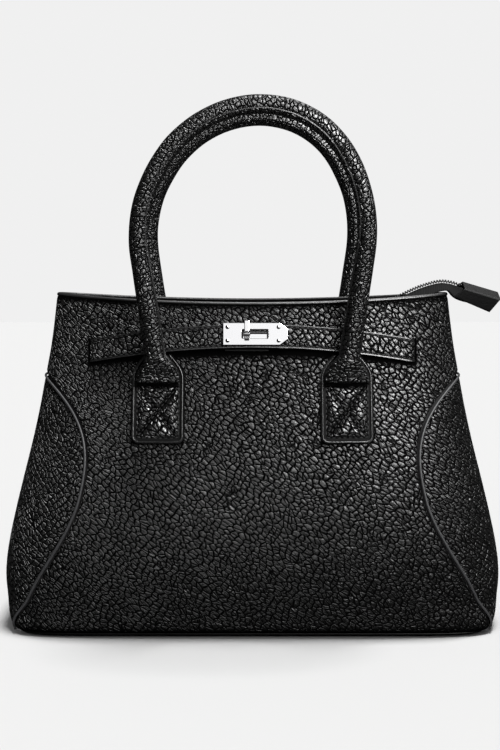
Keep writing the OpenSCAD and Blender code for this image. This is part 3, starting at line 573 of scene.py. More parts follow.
def finish_solid(node, finish):
    """Gives a packed solid its finish."""
    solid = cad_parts[node].data
    solid.materials.clear()
    solid.materials.append(material(finish))


def dress(piece, body, slot, *nodes):
    """Sets what a piece rides on and hides the solids it stands for; its finish slot is not used."""
    if body:
        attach(piece, body)
    if nodes:
        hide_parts(*nodes)
    return piece


def cloth(piece, held, *rests_on):
    """Works out the size a sheet of cloth is cut to, and keeps nothing of it."""
    area = sum(polygon.area for polygon in piece.data.polygons)
    if piece.data.uv_layers:
        places = [loop.uv for loop in piece.data.uv_layers[0].data]
    else:
        places = [vert.co for vert in piece.data.vertices]
    wide, tall = (max(p[k] for p in places) - min(p[k] for p in places) for k in (0, 1))
    tall = max(tall, area / wide)


# Finishes


class Wire:
    """A shader value. Sums of wires add their Math nodes."""

    def __init__(self, finish, socket):
        self.finish = finish
        self.socket = socket

    def math(self, operation, *terms):
        return self.finish.node("ShaderNodeMath", {"operation": operation}, dict(enumerate(terms)))

    def __add__(self, other):
        return self.math("ADD", self, other)

    def __sub__(self, other):
        return self.math("SUBTRACT", self, other)

    def __rsub__(self, other):
        return self.math("SUBTRACT", other, self)

    def __mul__(self, other):
        return self.math("MULTIPLY", self, other)

    def __truediv__(self, other):
        return self.math("DIVIDE", self, other)

    def __rtruediv__(self, other):
        return self.math("DIVIDE", other, self)

    def __pow__(self, other):
        return self.math("POWER", self, other)

    __radd__ = __add__
    __rmul__ = __mul__

    def size(self):
        return self.math("ABSOLUTE", self)

    def most(self, other):
        return self.math("MAXIMUM", self, other)

    def least(self, other):
        return self.math("MINIMUM", self, other)

    def wave(self):
        return self.math("SINE", self)

    def step(self, low, high):
        """0 at low and 1 at high, smoothly."""
        return self.finish.node("ShaderNodeMapRange", {"interpolation_type": "SMOOTHSTEP"},
                                {"Value": self, "From Min": low, "From Max": high})


class Finish:
    """A material under construction, with one principled shader."""

    def __init__(self, name, **constants):
        self.material = bpy.data.materials.new(name)
        self.material.use_nodes = True
        self.tree = self.material.node_tree
        self.tree.nodes.clear()
        self.output = self.tree.nodes.new("ShaderNodeOutputMaterial")
        self.shader = self.tree.nodes.new("ShaderNodeBsdfPrincipled")
        self.tree.links.new(self.shader.outputs[0], self.output.inputs["Surface"])
        for socket, value in constants.items():
            self.shader.inputs[socket.replace("_", " ").title().replace("Ior", "IOR")].default_value = value

    def node(self, kind, settings=None, inputs=None, output=0):
        """Adds a node with its settings, then its values and links, and gives one output."""
        node = self.tree.nodes.new(kind)
        for key, value in (settings or {}).items():
            setattr(node, key, value)
        for key, value in (inputs or {}).items():
            if isinstance(value, Wire):
                self.tree.links.new(value.socket, node.inputs[key])
            else:
                node.inputs[key].default_value = value
        return Wire(self, node.outputs[output])

    def vary(self, **links):
        for socket, wire in links.items():
            self.tree.links.new(wire.socket, self.shader.inputs[socket.replace("_", " ").title()])
        return self.material

    def sink(self, share):
        """Paints shade where share is 0 by mixing in a near-black shader: into the creases between the grains
        and into the painted shadows that lit gives.
        """
        crease = self.tree.nodes.new("ShaderNodeBsdfPrincipled")
        crease.inputs["Base Color"].default_value = grey(0.0006)
        crease.inputs["Specular IOR Level"].default_value = 0.02
        crease.inputs["Roughness"].default_value = 0.9
        both = self.tree.nodes.new("ShaderNodeMixShader")
        self.tree.links.new(share.socket, both.inputs[0])
        self.tree.links.new(crease.outputs[0], both.inputs[1])
        self.tree.links.new(self.shader.outputs[0], both.inputs[2])
        self.tree.links.new(both.outputs[0], self.output.inputs["Surface"])

    def place(self, scale=(1, 1, 1), turn=(0, 0, 0), shift=(0, 0, 0)):
        """Object coordinates in metres, turned and stretched."""
        where = self.node("ShaderNodeTexCoord", output="Object")
        return self.node("ShaderNodeMapping", None,
                         {"Vector": where, "Scale": scale, "Rotation": turn, "Location": shift})

    def axes(self):
        """Where the surface lies at rest in metres."""
        return self.parts(self.node("ShaderNodeAttribute", {"attribute_name": "rest"}, output="Vector"))

    def parts(self, where):
        """A place, axis by axis."""
        first = self.node("ShaderNodeSeparateXYZ", None, {0: where})
        return [Wire(self, output) for output in first.socket.node.outputs]

    def surface(self, scale, turn, shift=(0, 0, 0)):
        """Lengths along the surface in metres, turned and then divided by scale."""
        where = self.node("ShaderNodeUVMap", {"uv_map": "Surface"})
        return self.node("ShaderNodeMapping", {"vector_type": "TEXTURE"},
                         {"Vector": where, "Scale": scale, "Rotation": (0, 0, turn), "Location": shift})

    def noise(self, where, scale, detail=2.0, rough=0.5):
        return self.node("ShaderNodeTexNoise", None,
                         {"Vector": where, "Scale": scale, "Detail": detail, "Roughness": rough})

    def cells(self, where, feature, scale, loose):
        return self.node("ShaderNodeTexVoronoi", {"voronoi_dimensions": "2D", "feature": feature},
                         {"Vector": where, "Scale": scale, "Randomness": loose})

    def blend(self, share, a, b):
        return self.node("ShaderNodeMix", {"data_type": "RGBA"}, {0: share, 6: a, 7: b}, output=2)

    def warp(self, where, scale, amount):
        """Places pushed about by a soft noise."""
        push = self.node("ShaderNodeTexNoise", None, {"Vector": where, "Scale": scale, "Detail": 1.0},
                         output="Color")
        centred = self.node("ShaderNodeVectorMath", {"operation": "SUBTRACT"}, {0: push, 1: (0.5, 0.5, 0.5)})
        sized = self.node("ShaderNodeVectorMath", {"operation": "SCALE"}, {0: centred, "Scale": amount})
        return self.node("ShaderNodeVectorMath", {"operation": "ADD"}, {0: where, 1: sized})

    def bump(self, height, distance):
        return self.node("ShaderNodeBump", None, {"Height": height, "Distance": distance, "Strength": 1.0})


def darker(shade, share):
    return [channel * share for channel in shade[:3]] + [1]


def pebbled_leather(name, size=1.0, stretch=0.6, slant=-38, shift=(0, 0, 0), depth=1.0, rough=0.35,
                    shine=1.0, lit=None):
    """Pebbled leather: rounded grains between thin creases, slanting down to the right, with painted shade in
    the creases. lit gives the share of light that is left beside whatever is sewn on, as painted shadow."""
    looks = bpy.context.scene.bag_finish
    finish = Finish(name, specular_ior_level=looks.shine * shine)
    grain = looks.grain * size
    turn = math.radians(slant)
    where = finish.surface(scale=(grain / stretch, grain, grain), turn=turn, shift=shift)
    where = finish.warp(where, 0.12, 2.4)
    where = finish.warp(where, 0.8, 0.5)
    edge = finish.cells(where, "DISTANCE_TO_EDGE", 1.0, 0.85)
    middle = finish.cells(where, "F1", 1.0, 0.85)
    split = finish.cells(where, "DISTANCE_TO_EDGE", 2.3, 1.0)
    long = finish.surface(scale=(grain * 11, grain * 1.9, grain), turn=turn, shift=shift)
    flow = (finish.noise(finish.warp(long, 0.6, 0.7), 1.0, 0.0) - 0.5).size()
    fine = finish.noise(where, 6.0, 3.0, 0.6)
    patchy = finish.noise(finish.place(), 38.0, 2.0)
    swell = edge.step(0.0, 0.2) * flow.step(0.0, 0.03)
    height = swell * (1.25 - middle * middle * 0.8) + split.step(0.0, 0.12) * swell * 0.14 + fine * 0.08
    shade = edge.step(0.02, 0.14) * flow.step(0.002, 0.022)
    bright = edge.step(0.03, 0.17) * flow.step(0.0, 0.014) * (0.82 + split.step(0.0, 0.07) * 0.18)
    # Painted shade: the creases between the grains, and the painted shadows from lit, go near black.
    finish.sink(bright * lit(finish) if lit else bright)
    # The crease colour between the grains is painted shade, darker than the leather's own colour.
    return finish.vary(
        base_color=finish.blend(shade * (0.6 + patchy * 0.8), looks.crease[:], looks.hide[:]),
        roughness=rough + (1.0 - shade) * 0.1 + (fine - 0.5) * 0.2,
        normal=finish.bump(height, looks.grain_depth * size * depth),
    )


def beside_tabs(x, z):
    """The light left on the leather beside a tab, whose shadow falls to the left and below."""
    size = bpy.context.scene.bag_handle
    across = (x.size() - size.foot_spread / 2).size()
    out = (across - size.tab_width / 2).most(0.0)
    down = (size.tab_low - 0.0004 - z).most(0.0)
    away = (out * out + down * down) ** 0.5
    return away.step(0.0004, 0.0022).most(z.step(size.crease_height, size.crease_height + 0.008))


def lit_front(finish):
    """The light left on the front, below its belt, beside its tabs and under its rim."""
    size = bpy.context.scene.bag_belt
    x, y, z = finish.axes()
    share = (x / size.slit) ** 2
    middle = size.middle_height - share * (size.middle_height - size.end_height)
    below = middle - size.width / 2 - z
    belt = (below / (0.0105 - share * 0.0055)).step(0.45, 1.0).most(below.step(-0.004, -0.008))
    belt = belt.most(x.size().step(size.slit + 0.0012, size.slit + 0.0032))
    slit = (x.size() - size.slit - 0.0021).size().step(0.0004, 0.0022)
    above = (z - size.end_height + 0.001).size() - size.width / 2
    slit = slit.most(above.step(0.0008, 0.002))
    return belt * slit * beside_tabs(x, z) * seam_light(x, z)


def lit_tab(finish):
    """The light left on a tab, beside the seams of its cross."""
    tab = Tab(bpy.context.scene)
    x, y, z = finish.axes()
    low, high, half = tab.field()
    slope = (high - low) / 2 / half
    across = (x.size() - tab.size.foot_spread / 2).size()
    cross = ((z - (low + high) / 2).size() - across * slope).size() / math.sqrt(1 + slope * slope)
    edge = (half - across).least(z - low).least(high - z)
    return cross.step(0.0003, 0.0017) * edge.step(-0.0002, 0.0011) * (high - z).size().step(0.0006, 0.0024)


def lit_handle(finish):
    """The light left on a handle, which goes at its crease."""
    size = bpy.context.scene.bag_handle
    x, y, z = finish.axes()
    return (z - size.crease_height).step(0.0008, 0.0036)


def lit_rim(finish):
    """The light left on the rolled rim, on its upper edge."""
    x, y, z = finish.axes()
    return (rim_line(x) - z).step(0.0017, 0.0009) * 0.9 + 0.1


def lit_back(finish):
    """The light left on the back, beside its tabs and under its rim."""
    x, y, z = finish.axes()
    return beside_tabs(x, z) * seam_light(x, z)


def rim_line(x):
    """Height of the rim at a distance from the middle."""
    size = bpy.context.scene.bag_body
    return size.height - size.rim_dip * (1 - (x / (size.rim_length / 2)) ** 2)


def seam_light(x, z):
    """The light left below the rim and above the foot."""
    base = bpy.context.scene.bag_base
    low = base.welt_lift + base.welt_height
    foot = (z - low).step(0.0002, 0.0062) * (0.66 + z.step(0.012, 0.085) * 0.34)
    return (0.22 + (rim_line(x) - z).step(0.0042, 0.006) * 0.78) * foot


def smooth_leather(name, shade, rough=0.42, scale=900.0, shine=0.5, lit=None):
    """Painted or pressed leather with a fine even grain."""
    finish = Finish(name, specular_ior_level=shine)
    where = finish.place()
    fine = finish.noise(where, scale, 3.0, 0.6)
    worn = finish.noise(where, 90.0, 3.0)
    if lit:
        finish.sink(lit(finish))
    return finish.vary(
        base_color=finish.blend(worn, darker(shade, 0.6), list(shade)),
        roughness=rough + (worn - 0.5) * 0.2,
        normal=finish.bump(fine, 0.00012),
    )


def woven_cloth(name, shade, thread=0.0006):
    """Plain woven cloth."""
    finish = Finish(name, specular_ior_level=0.2)
    where = finish.place(scale=(1 / thread, 1 / thread, 1 / thread))
    x, y, z = finish.parts(where)
    over = ((x + y) * math.pi).wave() * (z * math.pi).wave()
    fleck = finish.noise(where, 0.7, 2.0)
    return finish.vary(
        base_color=finish.blend(over.step(-0.6, 0.8) * (0.6 + fleck * 0.6), darker(shade, 0.45), list(shade)),
        roughness=0.8 + fleck * 0.15,
        normal=finish.bump(over + fleck * 0.4, 0.00012),
    )


def polished_steel(name, shade, rough=0.09):
    """Polished metal with faint wear."""
    finish = Finish(name, metallic=1.0)
    smear = finish.noise(finish.place(), 140.0, 4.0, 0.6)
    scratch = finish.noise(finish.place(scale=(1, 1, 14)), 900.0, 2.0)
    return finish.vary(
        base_color=finish.blend(smear, darker(shade, 0.86), list(shade)),
        roughness=rough + smear * 0.05 + scratch * 0.03,
        normal=finish.bump(scratch, 0.000004),
    )


def thread_finish(name, shade):
    """Twisted thread."""
    finish = Finish(name, specular_ior_level=0.35)
    where = finish.place(turn=(0.6, 0.6, 0.6))
    twist = finish.node("ShaderNodeTexWave", None, {"Vector": where, "Scale": 900.0, "Distortion": 1.0})
    return finish.vary(
        base_color=finish.blend(twist, darker(shade, 0.4), list(shade)),
        roughness=0.55 + twist * 0.1,
        normal=finish.bump(twist, 0.00008),
    )


def board_finish(name, shade):
    """Pressed board with flecks."""
    finish = Finish(name, specular_ior_level=0.2)
    fleck = finish.noise(finish.place(), 700.0, 4.0, 0.7)
    return finish.vary(
        base_color=finish.blend(fleck, darker(shade, 0.5), list(shade)),
        roughness=0.8 + fleck * 0.1,
        normal=finish.bump(fleck, 0.0001),
    )


def material(name):
    """The named finish, made once."""
    found = bpy.data.materials.get(name)
    if found:
        return found
    looks = bpy.context.scene.bag_finish
    make, values = {
        "pebbled_body": (pebbled_leather, {}),
        # The front, back, tab and handle leathers carry painted shadows and painted shade through their lit
        # functions.
        "pebbled_front": (pebbled_leather, dict(lit=lit_front)),
        "pebbled_back": (pebbled_leather, dict(lit=lit_back)),
        "pebbled_trim": (pebbled_leather, dict(size=0.95, shift=(3.1, 1.7, 5.3))),
        "pebbled_handle": (pebbled_leather, dict(size=1.05, stretch=0.75, slant=-12, shift=(7.3, 2.9, 1.1),
                                                 depth=0.55, rough=0.33, shine=1.6, lit=lit_handle)),
        "pebbled_tab": (pebbled_leather, dict(size=1.1, shift=(2.2, 5.1, 3.3), depth=0.85, rough=0.33,
                                              shine=1.7, lit=lit_tab)),
        "pebbled_belt": (pebbled_leather, dict(size=1.15, stretch=0.7, slant=-50, shift=(1.3, 8.2, 4.4),
                                               depth=0.9, shine=1.15)),
        "seam_shadow": (smooth_leather, dict(shade=grey(0.0015), rough=0.7, shine=0.1)),
        "painted_edge": (smooth_leather, dict(shade=looks.edge, rough=0.36)),
        "smooth_leather": (smooth_leather, dict(shade=looks.hide, rough=0.5)),
        "piping_leather": (smooth_leather, dict(shade=grey(0.006), rough=0.42, shine=0.06)),
        "tail_leather": (smooth_leather, dict(shade=grey(0.006), rough=0.45, shine=0.12)),
        # Darker copy of the end tab's leather for its flaps: painted shade on the tab's sides.
        "flank_leather": (smooth_leather, dict(shade=grey(0.003), rough=0.45, shine=0.03)),
        # Darker than the hide: painted shade on the welt at the foot.
        "welt_leather": (smooth_leather, dict(shade=grey(0.003), rough=0.5, shine=0.07)),
        # The rolled rim: edge-paint grey, left lit only along its upper edge, with painted shade below it.
        "rim_leather": (smooth_leather, dict(shade=grey(0.03), rough=0.36, lit=lit_rim)),
        "zip_nylon": (smooth_leather, dict(shade=looks.thread, rough=0.35, scale=1500.0)),
        "tail_nylon": (smooth_leather, dict(shade=grey(0.003), rough=0.3, shine=0.35)),
        "thread": (thread_finish, dict(shade=looks.thread)),
        "lining_cloth": (woven_cloth, dict(shade=looks.cloth)),
        "zip_cloth": (woven_cloth, dict(shade=looks.tape, thread=0.0005)),
        "tail_cloth": (woven_cloth, dict(shade=grey(0.003))),
        "polished_steel": (polished_steel, dict(shade=looks.steel)),
        # Darker copy of the polished steel: painted dark reflections on the screw heads.
        "stud_steel": (polished_steel, dict(shade=grey(0.45), rough=0.12)),
        # Near-black copy of the polished steel: painted shade on the clasp's base under the belt.
        "dark_steel": (polished_steel, dict(shade=grey(0.018), rough=0.3)),
        "stiffener": (board_finish, dict(shade=(0.25, 0.24, 0.22, 1))),
        "cord_core": (board_finish, dict(shade=(0.45, 0.38, 0.27, 1))),
    }[name]
    return make(name, **values)


# Shell


def seam_tree(body):
    """Both side seams as close points, for the distance to the nearest."""
    line = body.seam_line()
    points = []
    for (turn_a, za), (turn_b, zb) in zip(line, line[1:]):
        for share in spread(0, 1, 14)[:-1]:
            turn, z = mix(turn_a, turn_b, share), mix(za, zb, share)
            place = body.wall(turn, z)
            points += [place, Vector((-place.x, place.y, place.z))]
    tree = kdtree.KDTree(len(points))
    for k, point in enumerate(points):
        tree.insert(point, k)
    tree.balance()
    return tree


def rolled(body, tree, turn, z, rim_side):
    """Depth of the leather at a place: it rolls into its seams and wanders a little."""
    size = body.size
    point = body.wall(turn, z)
    away = tree.find(point)[2] - body.room
    sink = size.seam_sink * (1 - clamp(away / size.seam_roll)) ** 2
    foot = 1 - clamp((z - body.foot()) / size.seam_roll)
    sink = max(sink, 0.6 * size.seam_sink * foot**2)
    if rim_side:
        rim = 1 - clamp((body.rim(turn) - size.rim_edge - z) / size.seam_roll)
        sink = max(sink, 0.3 * size.seam_sink * rim**2)
    calm = smooth(away / 0.02) * smooth((size.height - z) / 0.05) * smooth((z - body.foot()) / 0.02)
    wander = 0.5 + 0.5 * noise.noise(Vector((point.x * 17, point.y * 9, z * 21)))
    return sink + size.slack * calm * clamp(wander)


# Distances from a panel's edge at which its first lines run, where it rolls in
LIPS = (0.0, 0.0005, 0.001, 0.0016, 0.0024)


def columns_between(body, edge, z, count):
    """Turns from the left edge to the right one, close together at both."""
    per_turn = body.turn_length(edge, z)
    near = [edge + lip / per_turn for lip in LIPS]
    middle = spread(math.pi - near[-1], near[-1], count)[1:-1]
    return [math.pi - turn for turn in near] + middle + near[::-1]


def cut_slit(mesh, x, z, width, height):
    """Cuts a slit or a window through a sheet on the front."""

    def faces_near(across, up):
        centres = [(face, face.calc_center_median()) for face in mesh.faces]
        return [face for face, at in centres if abs(at.x - x) < across and abs(at.z - z) < up]

    for place, normal in ((x - width / 2, 0), (x + width / 2, 0), (z - height / 2, 2), (z + height / 2, 2)):
        near = faces_near(0.012, 0.016)
        edges = {edge for face in near for edge in face.edges}
        verts = {vert for face in near for vert in face.verts}
        at, way = Vector((0, 0, 0)), Vector((0, 0, 0))
        at[normal], way[normal] = place, 1
        bmesh.ops.bisect_plane(mesh, geom=[*near, *edges, *verts], dist=1e-6, plane_co=at, plane_no=way)
    bmesh.ops.delete(mesh, geom=faces_near(width / 2, height / 2), context="FACES")


def shell_panel(body, tree):
    """The front leather, between the wings and over them up to the rim."""
    heights = body.wing_heights(body.room, 46, 40)
    top, columns = body.wing.height + body.room, 118
    rows = [[(turn, z) for turn in columns_between(body, body.seam_turn(z, body.room), z, columns)]
            for z in heights]
    turns = columns_between(body, body.side_turn(top), top, columns)
    rows += [[(turn, mix(top, body.rim(turn) - body.size.rim_edge, share)) for turn in turns]
             for share in spread(0, 1, 22)]

    def place(column, row):
        turn, z = rows[row][column]
        return body.wall(turn, z, rolled(body, tree, turn, z, row >= len(heights)))

    return mapped_grid(len(rows[0]) - 1, len(rows) - 1, place)


def wing_panel(body, tree):
    """The leather of the right wing, inside its piping."""
    rows = []
    for z in body.wing_heights(-body.room, 46, 40):
        edge = body.seam_turn(z, -body.room)
        per_turn = body.turn_length(edge, z)
        near = [max(edge - lip / per_turn, edge * (1 - 0.12 * k)) for k, lip in enumerate(LIPS)]
        turns = near[:-1] + spread(near[-1], -near[-1], 46) + [-turn for turn in near[-2::-1]]
        rows.append([(turn, z) for turn in turns])

    def place(column, row):
        turn, z = rows[row][column]
        return body.wall(turn, z, rolled(body, tree, turn, z, False))

    return mapped_grid(len(rows[0]) - 1, len(rows) - 1, place)


class BAG_OT_shell(bpy.types.Operator):
    """Makes the leather panels of the front, back and sides"""
    bl_idname = "bag.shell"
    bl_label = "Shell"

    def execute(self, context):
        body = Body(context.scene)
        belt = context.scene.bag_belt
        gap = body.size.seam_gap
        tree = seam_tree(body)
        mesh = shell_panel(body, tree)
        turned = mesh.copy()
        half_turn = Matrix.Rotation(math.pi, 3, "Z")
        bmesh.ops.rotate(turned, cent=(0, 0, 0), matrix=half_turn, verts=turned.verts)
        back = finished("leather_back", turned, material("pebbled_back"))
        slit = belt.slit + belt.thickness / 2
        for side in (-1, 1):
            cut_slit(mesh, side * slit, belt.end_height, belt.thickness + 2 * gap, belt.width + 2 * gap)
        front = finished("leather_front", mesh, material("pebbled_front"))
        right = finished("leather_side_right", wing_panel(body, tree), material("pebbled_body"))
        left = mirrored("leather_side_left", right, "x")
        for piece, node in ((front, "front"), (back, "back"), (right, "right_wing"), (left, "left_wing")):
            thicken(piece, body.size.leather)
            dress(piece, "bag", "bag_leather", node + "_panel")
        return {"FINISHED"}


class BAG_OT_piping(bpy.types.Operator):
    """Makes the piping round the side panels"""
    bl_idname = "bag.piping"
    bl_label = "Piping"

    def execute(self, context):
        body = Body(context.scene)
        wing = body.wing
        line = body.seam_line()
        points = [body.wall(turn, z, wing.piping / 2 - wing.piping_proud) for turn, z in line]
        low = Vector((0, 0, -0.0012))
        points = [points[0] + low] + points + [points[-1] + low]
        mesh = tube(points, wing.piping / 2, 12, Vector((1, 0, 0)))
        right = finished("piping_right", mesh, material("piping_leather"))
        left = mirrored("piping_left", right, "x")
        dress(right, "bag", "piping_leather", "right_wing_piping")
        dress(left, "bag", "piping_leather", "left_wing_piping")
        return {"FINISHED"}


class BAG_OT_base(bpy.types.Operator):
    """Makes the base leather and the welt round the foot"""
    bl_idname = "bag.base"
    bl_label = "Base"

    def execute(self, context):
        body = Body(context.scene)
        base = context.scene.bag_base
        gap = body.size.layer_gap
        mesh = bmesh.new()
        made = bmesh.ops.create_circle(mesh, cap_ends=True, segments=192, radius=1)
        for vert in made["verts"]:
            turn = math.atan2(-vert.co.y, vert.co.x)
            vert.co = body.wall(turn, 0, base.welt_under + gap)
        for inset in (0.0004, 0.02, 0.03):
            bmesh.ops.inset_region(mesh, faces=[max(mesh.faces, key=lambda face: face.calc_area())],
                                   thickness=inset, depth=0)
        rise = bmesh.ops.extrude_face_region(mesh, geom=mesh.faces[:])
        lifted = [item for item in rise["geom"] if isinstance(item, bmesh.types.BMVert)]
        bmesh.ops.translate(mesh, vec=(0, 0, base.leather), verts=lifted)
        bmesh.ops.recalc_face_normals(mesh, faces=mesh.faces)
        floor = finished("leather_base", mesh, material("pebbled_trim"))
        dress(floor, "bag", "bag_leather", "base_panel")
        middle = (base.welt_under - base.welt_proud) / 2
        half = (base.welt_under + base.welt_proud) / 2
        sides, count = 14, 200

        def place(column, row):
            a = 2 * math.pi * column / sides
            r = squareness(a, 3.0)
            point = body.wall(2 * math.pi * row / count, 0, middle + half * r * math.cos(a))
            point.z = base.welt_lift + base.welt_height / 2 * (1 + r * math.sin(a))
            return point

        welt = finished("foot_welt", mapped_grid(sides, count, place, wrap=True), material("welt_leather"))
        dress(welt, "bag", "piping_leather", "base_welt")
        finish_solid("base_board", "stiffener")
        return {"FINISHED"}


def half_wall(body, low, high, deep, columns, rows, follows_rim, waves=0.0):
    """A sheet inside the front, from one side seam to the other."""

    def place(column, row):
        share = row / rows
        edge = body.side_turn(mix(low, high, share))
        turn = mix(math.pi - edge, edge, column / columns)
        top = high + (body.rim(turn) - body.size.height if follows_rim else 0)
        z = mix(low, top, share)
        ripple = 0.5 + 0.5 * noise.noise(Vector((turn * 3.1, z * 22, 4)))
        return body.wall(turn, z, deep + waves * math.sin(math.pi * share) * ripple)

    return mapped_grid(columns, rows, place)


class BAG_OT_inside(bpy.types.Operator):
    """Makes the lining, the facings and the rolled edges of the rim"""
    bl_idname = "bag.inside"
    bl_label = "Lining and rim"

    def execute(self, context):
        body = Body(context.scene)
        size, base = body.size, context.scene.bag_base
        facing_in = size.leather + size.layer_gap
        facing_out = facing_in + size.facing
        lining_in = facing_out + size.layer_gap
        facing_low = size.height - size.facing_height
        floor_low = base.leather + 2 * size.layer_gap + 0.002
        lining_low = floor_low + size.lining + size.layer_gap
        lining_high = mix(facing_low, size.height, 0.15)
        lining = half_wall(body, lining_low, lining_high, lining_in, 90, 40, False, 0.001)
        facing = half_wall(body, facing_low, size.height - size.rim_edge, facing_in, 90, 8, True)
        for name, mesh, thickness, finish, slot, node in (
            ("cloth_lining", lining, size.lining, "lining_cloth", "lining_cloth", "lining"),
            ("leather_facing", facing, size.facing, "smooth_leather", "bag_leather", "facing"),
        ):
            front = finished(name + "_front", mesh, material(finish))
            back = mirrored(name + "_back", front, "y")
            for piece, side in ((front, "front_"), (back, "back_")):
                dress(piece, "bag", slot, side + node)
                if node == "lining":
                    cloth(piece, "stretched", side + "facing")
                thicken(piece, thickness)

        sides, count = 16, 160
        middle, half = (facing_out - 0.0002) / 2, (facing_out + 0.0002) / 2
        edge = body.side_turn(size.height)

        def place(column, row):
            a = 2 * math.pi * column / sides
            r = squareness(a, 2.6)
            turn = mix(edge, math.pi - edge, row / count)
            z = body.rim(turn) - size.rim_edge / 2 * (1 - r * math.sin(a))
            return body.wall(turn, min(z, size.height), middle + half * r * math.cos(a))

        mesh = mapped_grid(sides, count, place, wrap=True, caps=True)
        front = finished("rim_edge_front", mesh, material("rim_leather"))
        back = mirrored("rim_edge_back", front, "y")
        dress(front, "bag", "bag_leather", "front_rim_binding")
        dress(back, "bag", "bag_leather", "back_rim_binding")

        mesh = bmesh.new()
        made = bmesh.ops.create_circle(mesh, cap_ends=True, segments=128, radius=1)
        for vert in made["verts"]:
            vert.co = body.wall(math.atan2(-vert.co.y, vert.co.x), 0, size.leather + size.seam_gap)
            vert.co.z = floor_low + size.lining
        floor = finished("cloth_floor", mesh, material("lining_cloth"))
        dress(floor, "bag", "lining_cloth", "lining_floor")
        cloth(floor, "laid", "base_board")
        thicken(floor, size.lining)
        return {"FINISHED"}


# Handles


class Handle:
    """The roll of a handle in its own frame: x across, y towards the back, z up from the crease."""

    def __init__(self, scene):
        size = self.size = scene.bag_handle
        crown_z = size.rise - size.crown
        bulge = size.span / 2 - size.crown
        drop = crown_z - size.widest
        gap = (drop * drop + bulge * bulge) / (2 * bulge)
        self.side_radius = size.crown + gap
        crown_turn = math.asin(drop / gap)
        centre = (size.span / 2 - self.side_radius, size.widest)
        top = (centre[0] + self.side_radius * math.cos(size.splay),
               centre[1] - self.side_radius * math.sin(size.splay))
        self.neck = size.tab_shoulder - size.crease_height
        self.pivot = size.crease_thickness / 2

        def leg_x(z):
            return top[0] - (top[1] - z) * math.tan(size.splay)

        def arc(at, radius, turn):
            return at[0] + radius * math.cos(turn), at[1] + radius * math.sin(turn), turn

        right = [(leg_x(z), z, -size.splay) for z in spread(self.neck, top[1], 14)[:-1]]
        right += [arc(centre, self.side_radius, turn) for turn in spread(-size.splay, crown_turn, 30)[:-1]]
        right += [arc((0, crown_z), size.crown, turn) for turn in spread(crown_turn, math.pi / 2, 30)[:-1]]
        roll = right + [(0, crown_z + size.crown, math.pi / 2)]
        roll += [(-x, z, math.pi - turn) for x, z, turn in reversed(right)]
        roll = [(x + self.sway(z), z, turn) for x, z, turn in roll]
        self.rings = []
        root = self.radius(self.neck)
        for side in (1, -1):
            flare = []
            for down in spread(0, 1, 30)[1:]:
                ease, wide = smooth(down), math.sin(math.pi / 2 * down)
                z = mix(self.neck, self.pivot, down)
                x = side * mix(leg_x(z), size.foot_spread / 2, down)
                turn = -size.splay * (1 - down)
                flare.append(dict(
                    place=(x, z), turn=turn if side > 0 else math.pi - turn, down=down,
                    half=(mix(root, size.crease_width / 2, wide), mix(root, size.crease_thickness / 2, ease)),
                    square=2 + 2 * down, back=size.crease_set * ease, side=side))
            for dip in spread(0, math.radians(84), 6)[1:]:
                flare.append(dict(
                    place=(side * size.foot_spread / 2, self.pivot - self.pivot * math.sin(dip)),
                    turn=0 if side > 0 else math.pi, down=1.0,
                    half=(size.crease_width / 2, self.pivot * math.cos(dip)),
                    square=4, back=size.crease_set, side=side))
            if side > 0:
                self.rings += flare[::-1]
                self.rings += [dict(place=(x, z), turn=turn, down=0.0, half=(self.radius(z), self.radius(z)),
                                    square=2, back=0.0, side=1 if x >= 0 else -1) for x, z, turn in roll]
            else:
                self.rings += flare

    def radius(self, z):
        """Radius of the roll at a height above the crease."""
        return self.size.thickness / 2 * (1 + 0.06 * (1 - smooth((z - self.neck) / 0.07)))

    def sway(self, z):
        """How far the arch leans to the right at a height above the crease."""
        size = self.size
        return size.sway * (max(z - size.sway_start, 0) / (size.rise - size.sway_start)) ** 2

    def angles(self):
        """Angles round the roll from the middle of its seam, close together at the seam's sides."""
        seam = [-16, -13.5, -11.5, -6, 0, 6, 11.5, 13.5, 16]
        rest = spread(16, 344, 38)[1:-1]
        return [math.radians(a) for a in seam + rest]


def handle_mesh(handle, seam_turn):
    """The leather of a roll, with its seam at seam_turn(share), a flat flare and a rolled crease."""
    size = handle.size
    angles = handle.angles()
    rings = handle.rings
    last = len(rings) - 1

    def place(column, row):
        ring = rings[row]
        delta = angles[column % len(angles)] if column < len(angles) else angles[0] + 2 * math.pi
        on_roll = 1 - smooth(ring["down"] / 0.55)
        seam = seam_turn(min(row, last - row) / (last / 2))
        a = mix(math.pi, seam, on_roll) + delta
        r = squareness(a, ring["square"])
        half_w, half_t = ring["half"]
        raised = size.seam * on_roll if abs(math.degrees(delta)) < 12 else 0.0
        x, z = ring["place"]
        wrinkle = 0.0
        if ring["down"] > 0.02:
            across = half_w * r * math.cos(a)
            bow = z - across * across * 22
            ridge = abs(noise.noise(Vector((across * 120 + ring["side"], 1.7, bow * 420))))
            wrinkle = -0.00045 * (1 - smooth(ridge / 0.22)) * smooth(ring["down"] / 0.25)
        dent = 0.00025 * noise.noise(Vector((x * 60, math.sin(a) + 0.4 * math.cos(a), z * 60)))
        grow = raised + dent + wrinkle
        side = (half_w + min(grow, grow * half_w / 0.0062)) * r * math.cos(a)
        deep = (half_t + grow) * r * math.sin(a)
        y = size.centre + ring["back"] - deep
        turn = ring["turn"]
        return Vector((x + side * math.cos(turn), y, size.crease_height + z + side * math.sin(turn)))

    def paint(column, row):
        inner, outer = sorted((abs(angles[column % len(angles)]), abs(angles[(column + 1) % len(angles)])))
        steep = math.degrees(inner) > 11 and math.degrees(outer) < 14
        return 1 if steep and rings[row]["down"] < 0.4 and column < 8 else 0

    return mapped_grid(len(angles), last, place, wrap=True, caps=True, paint=paint)


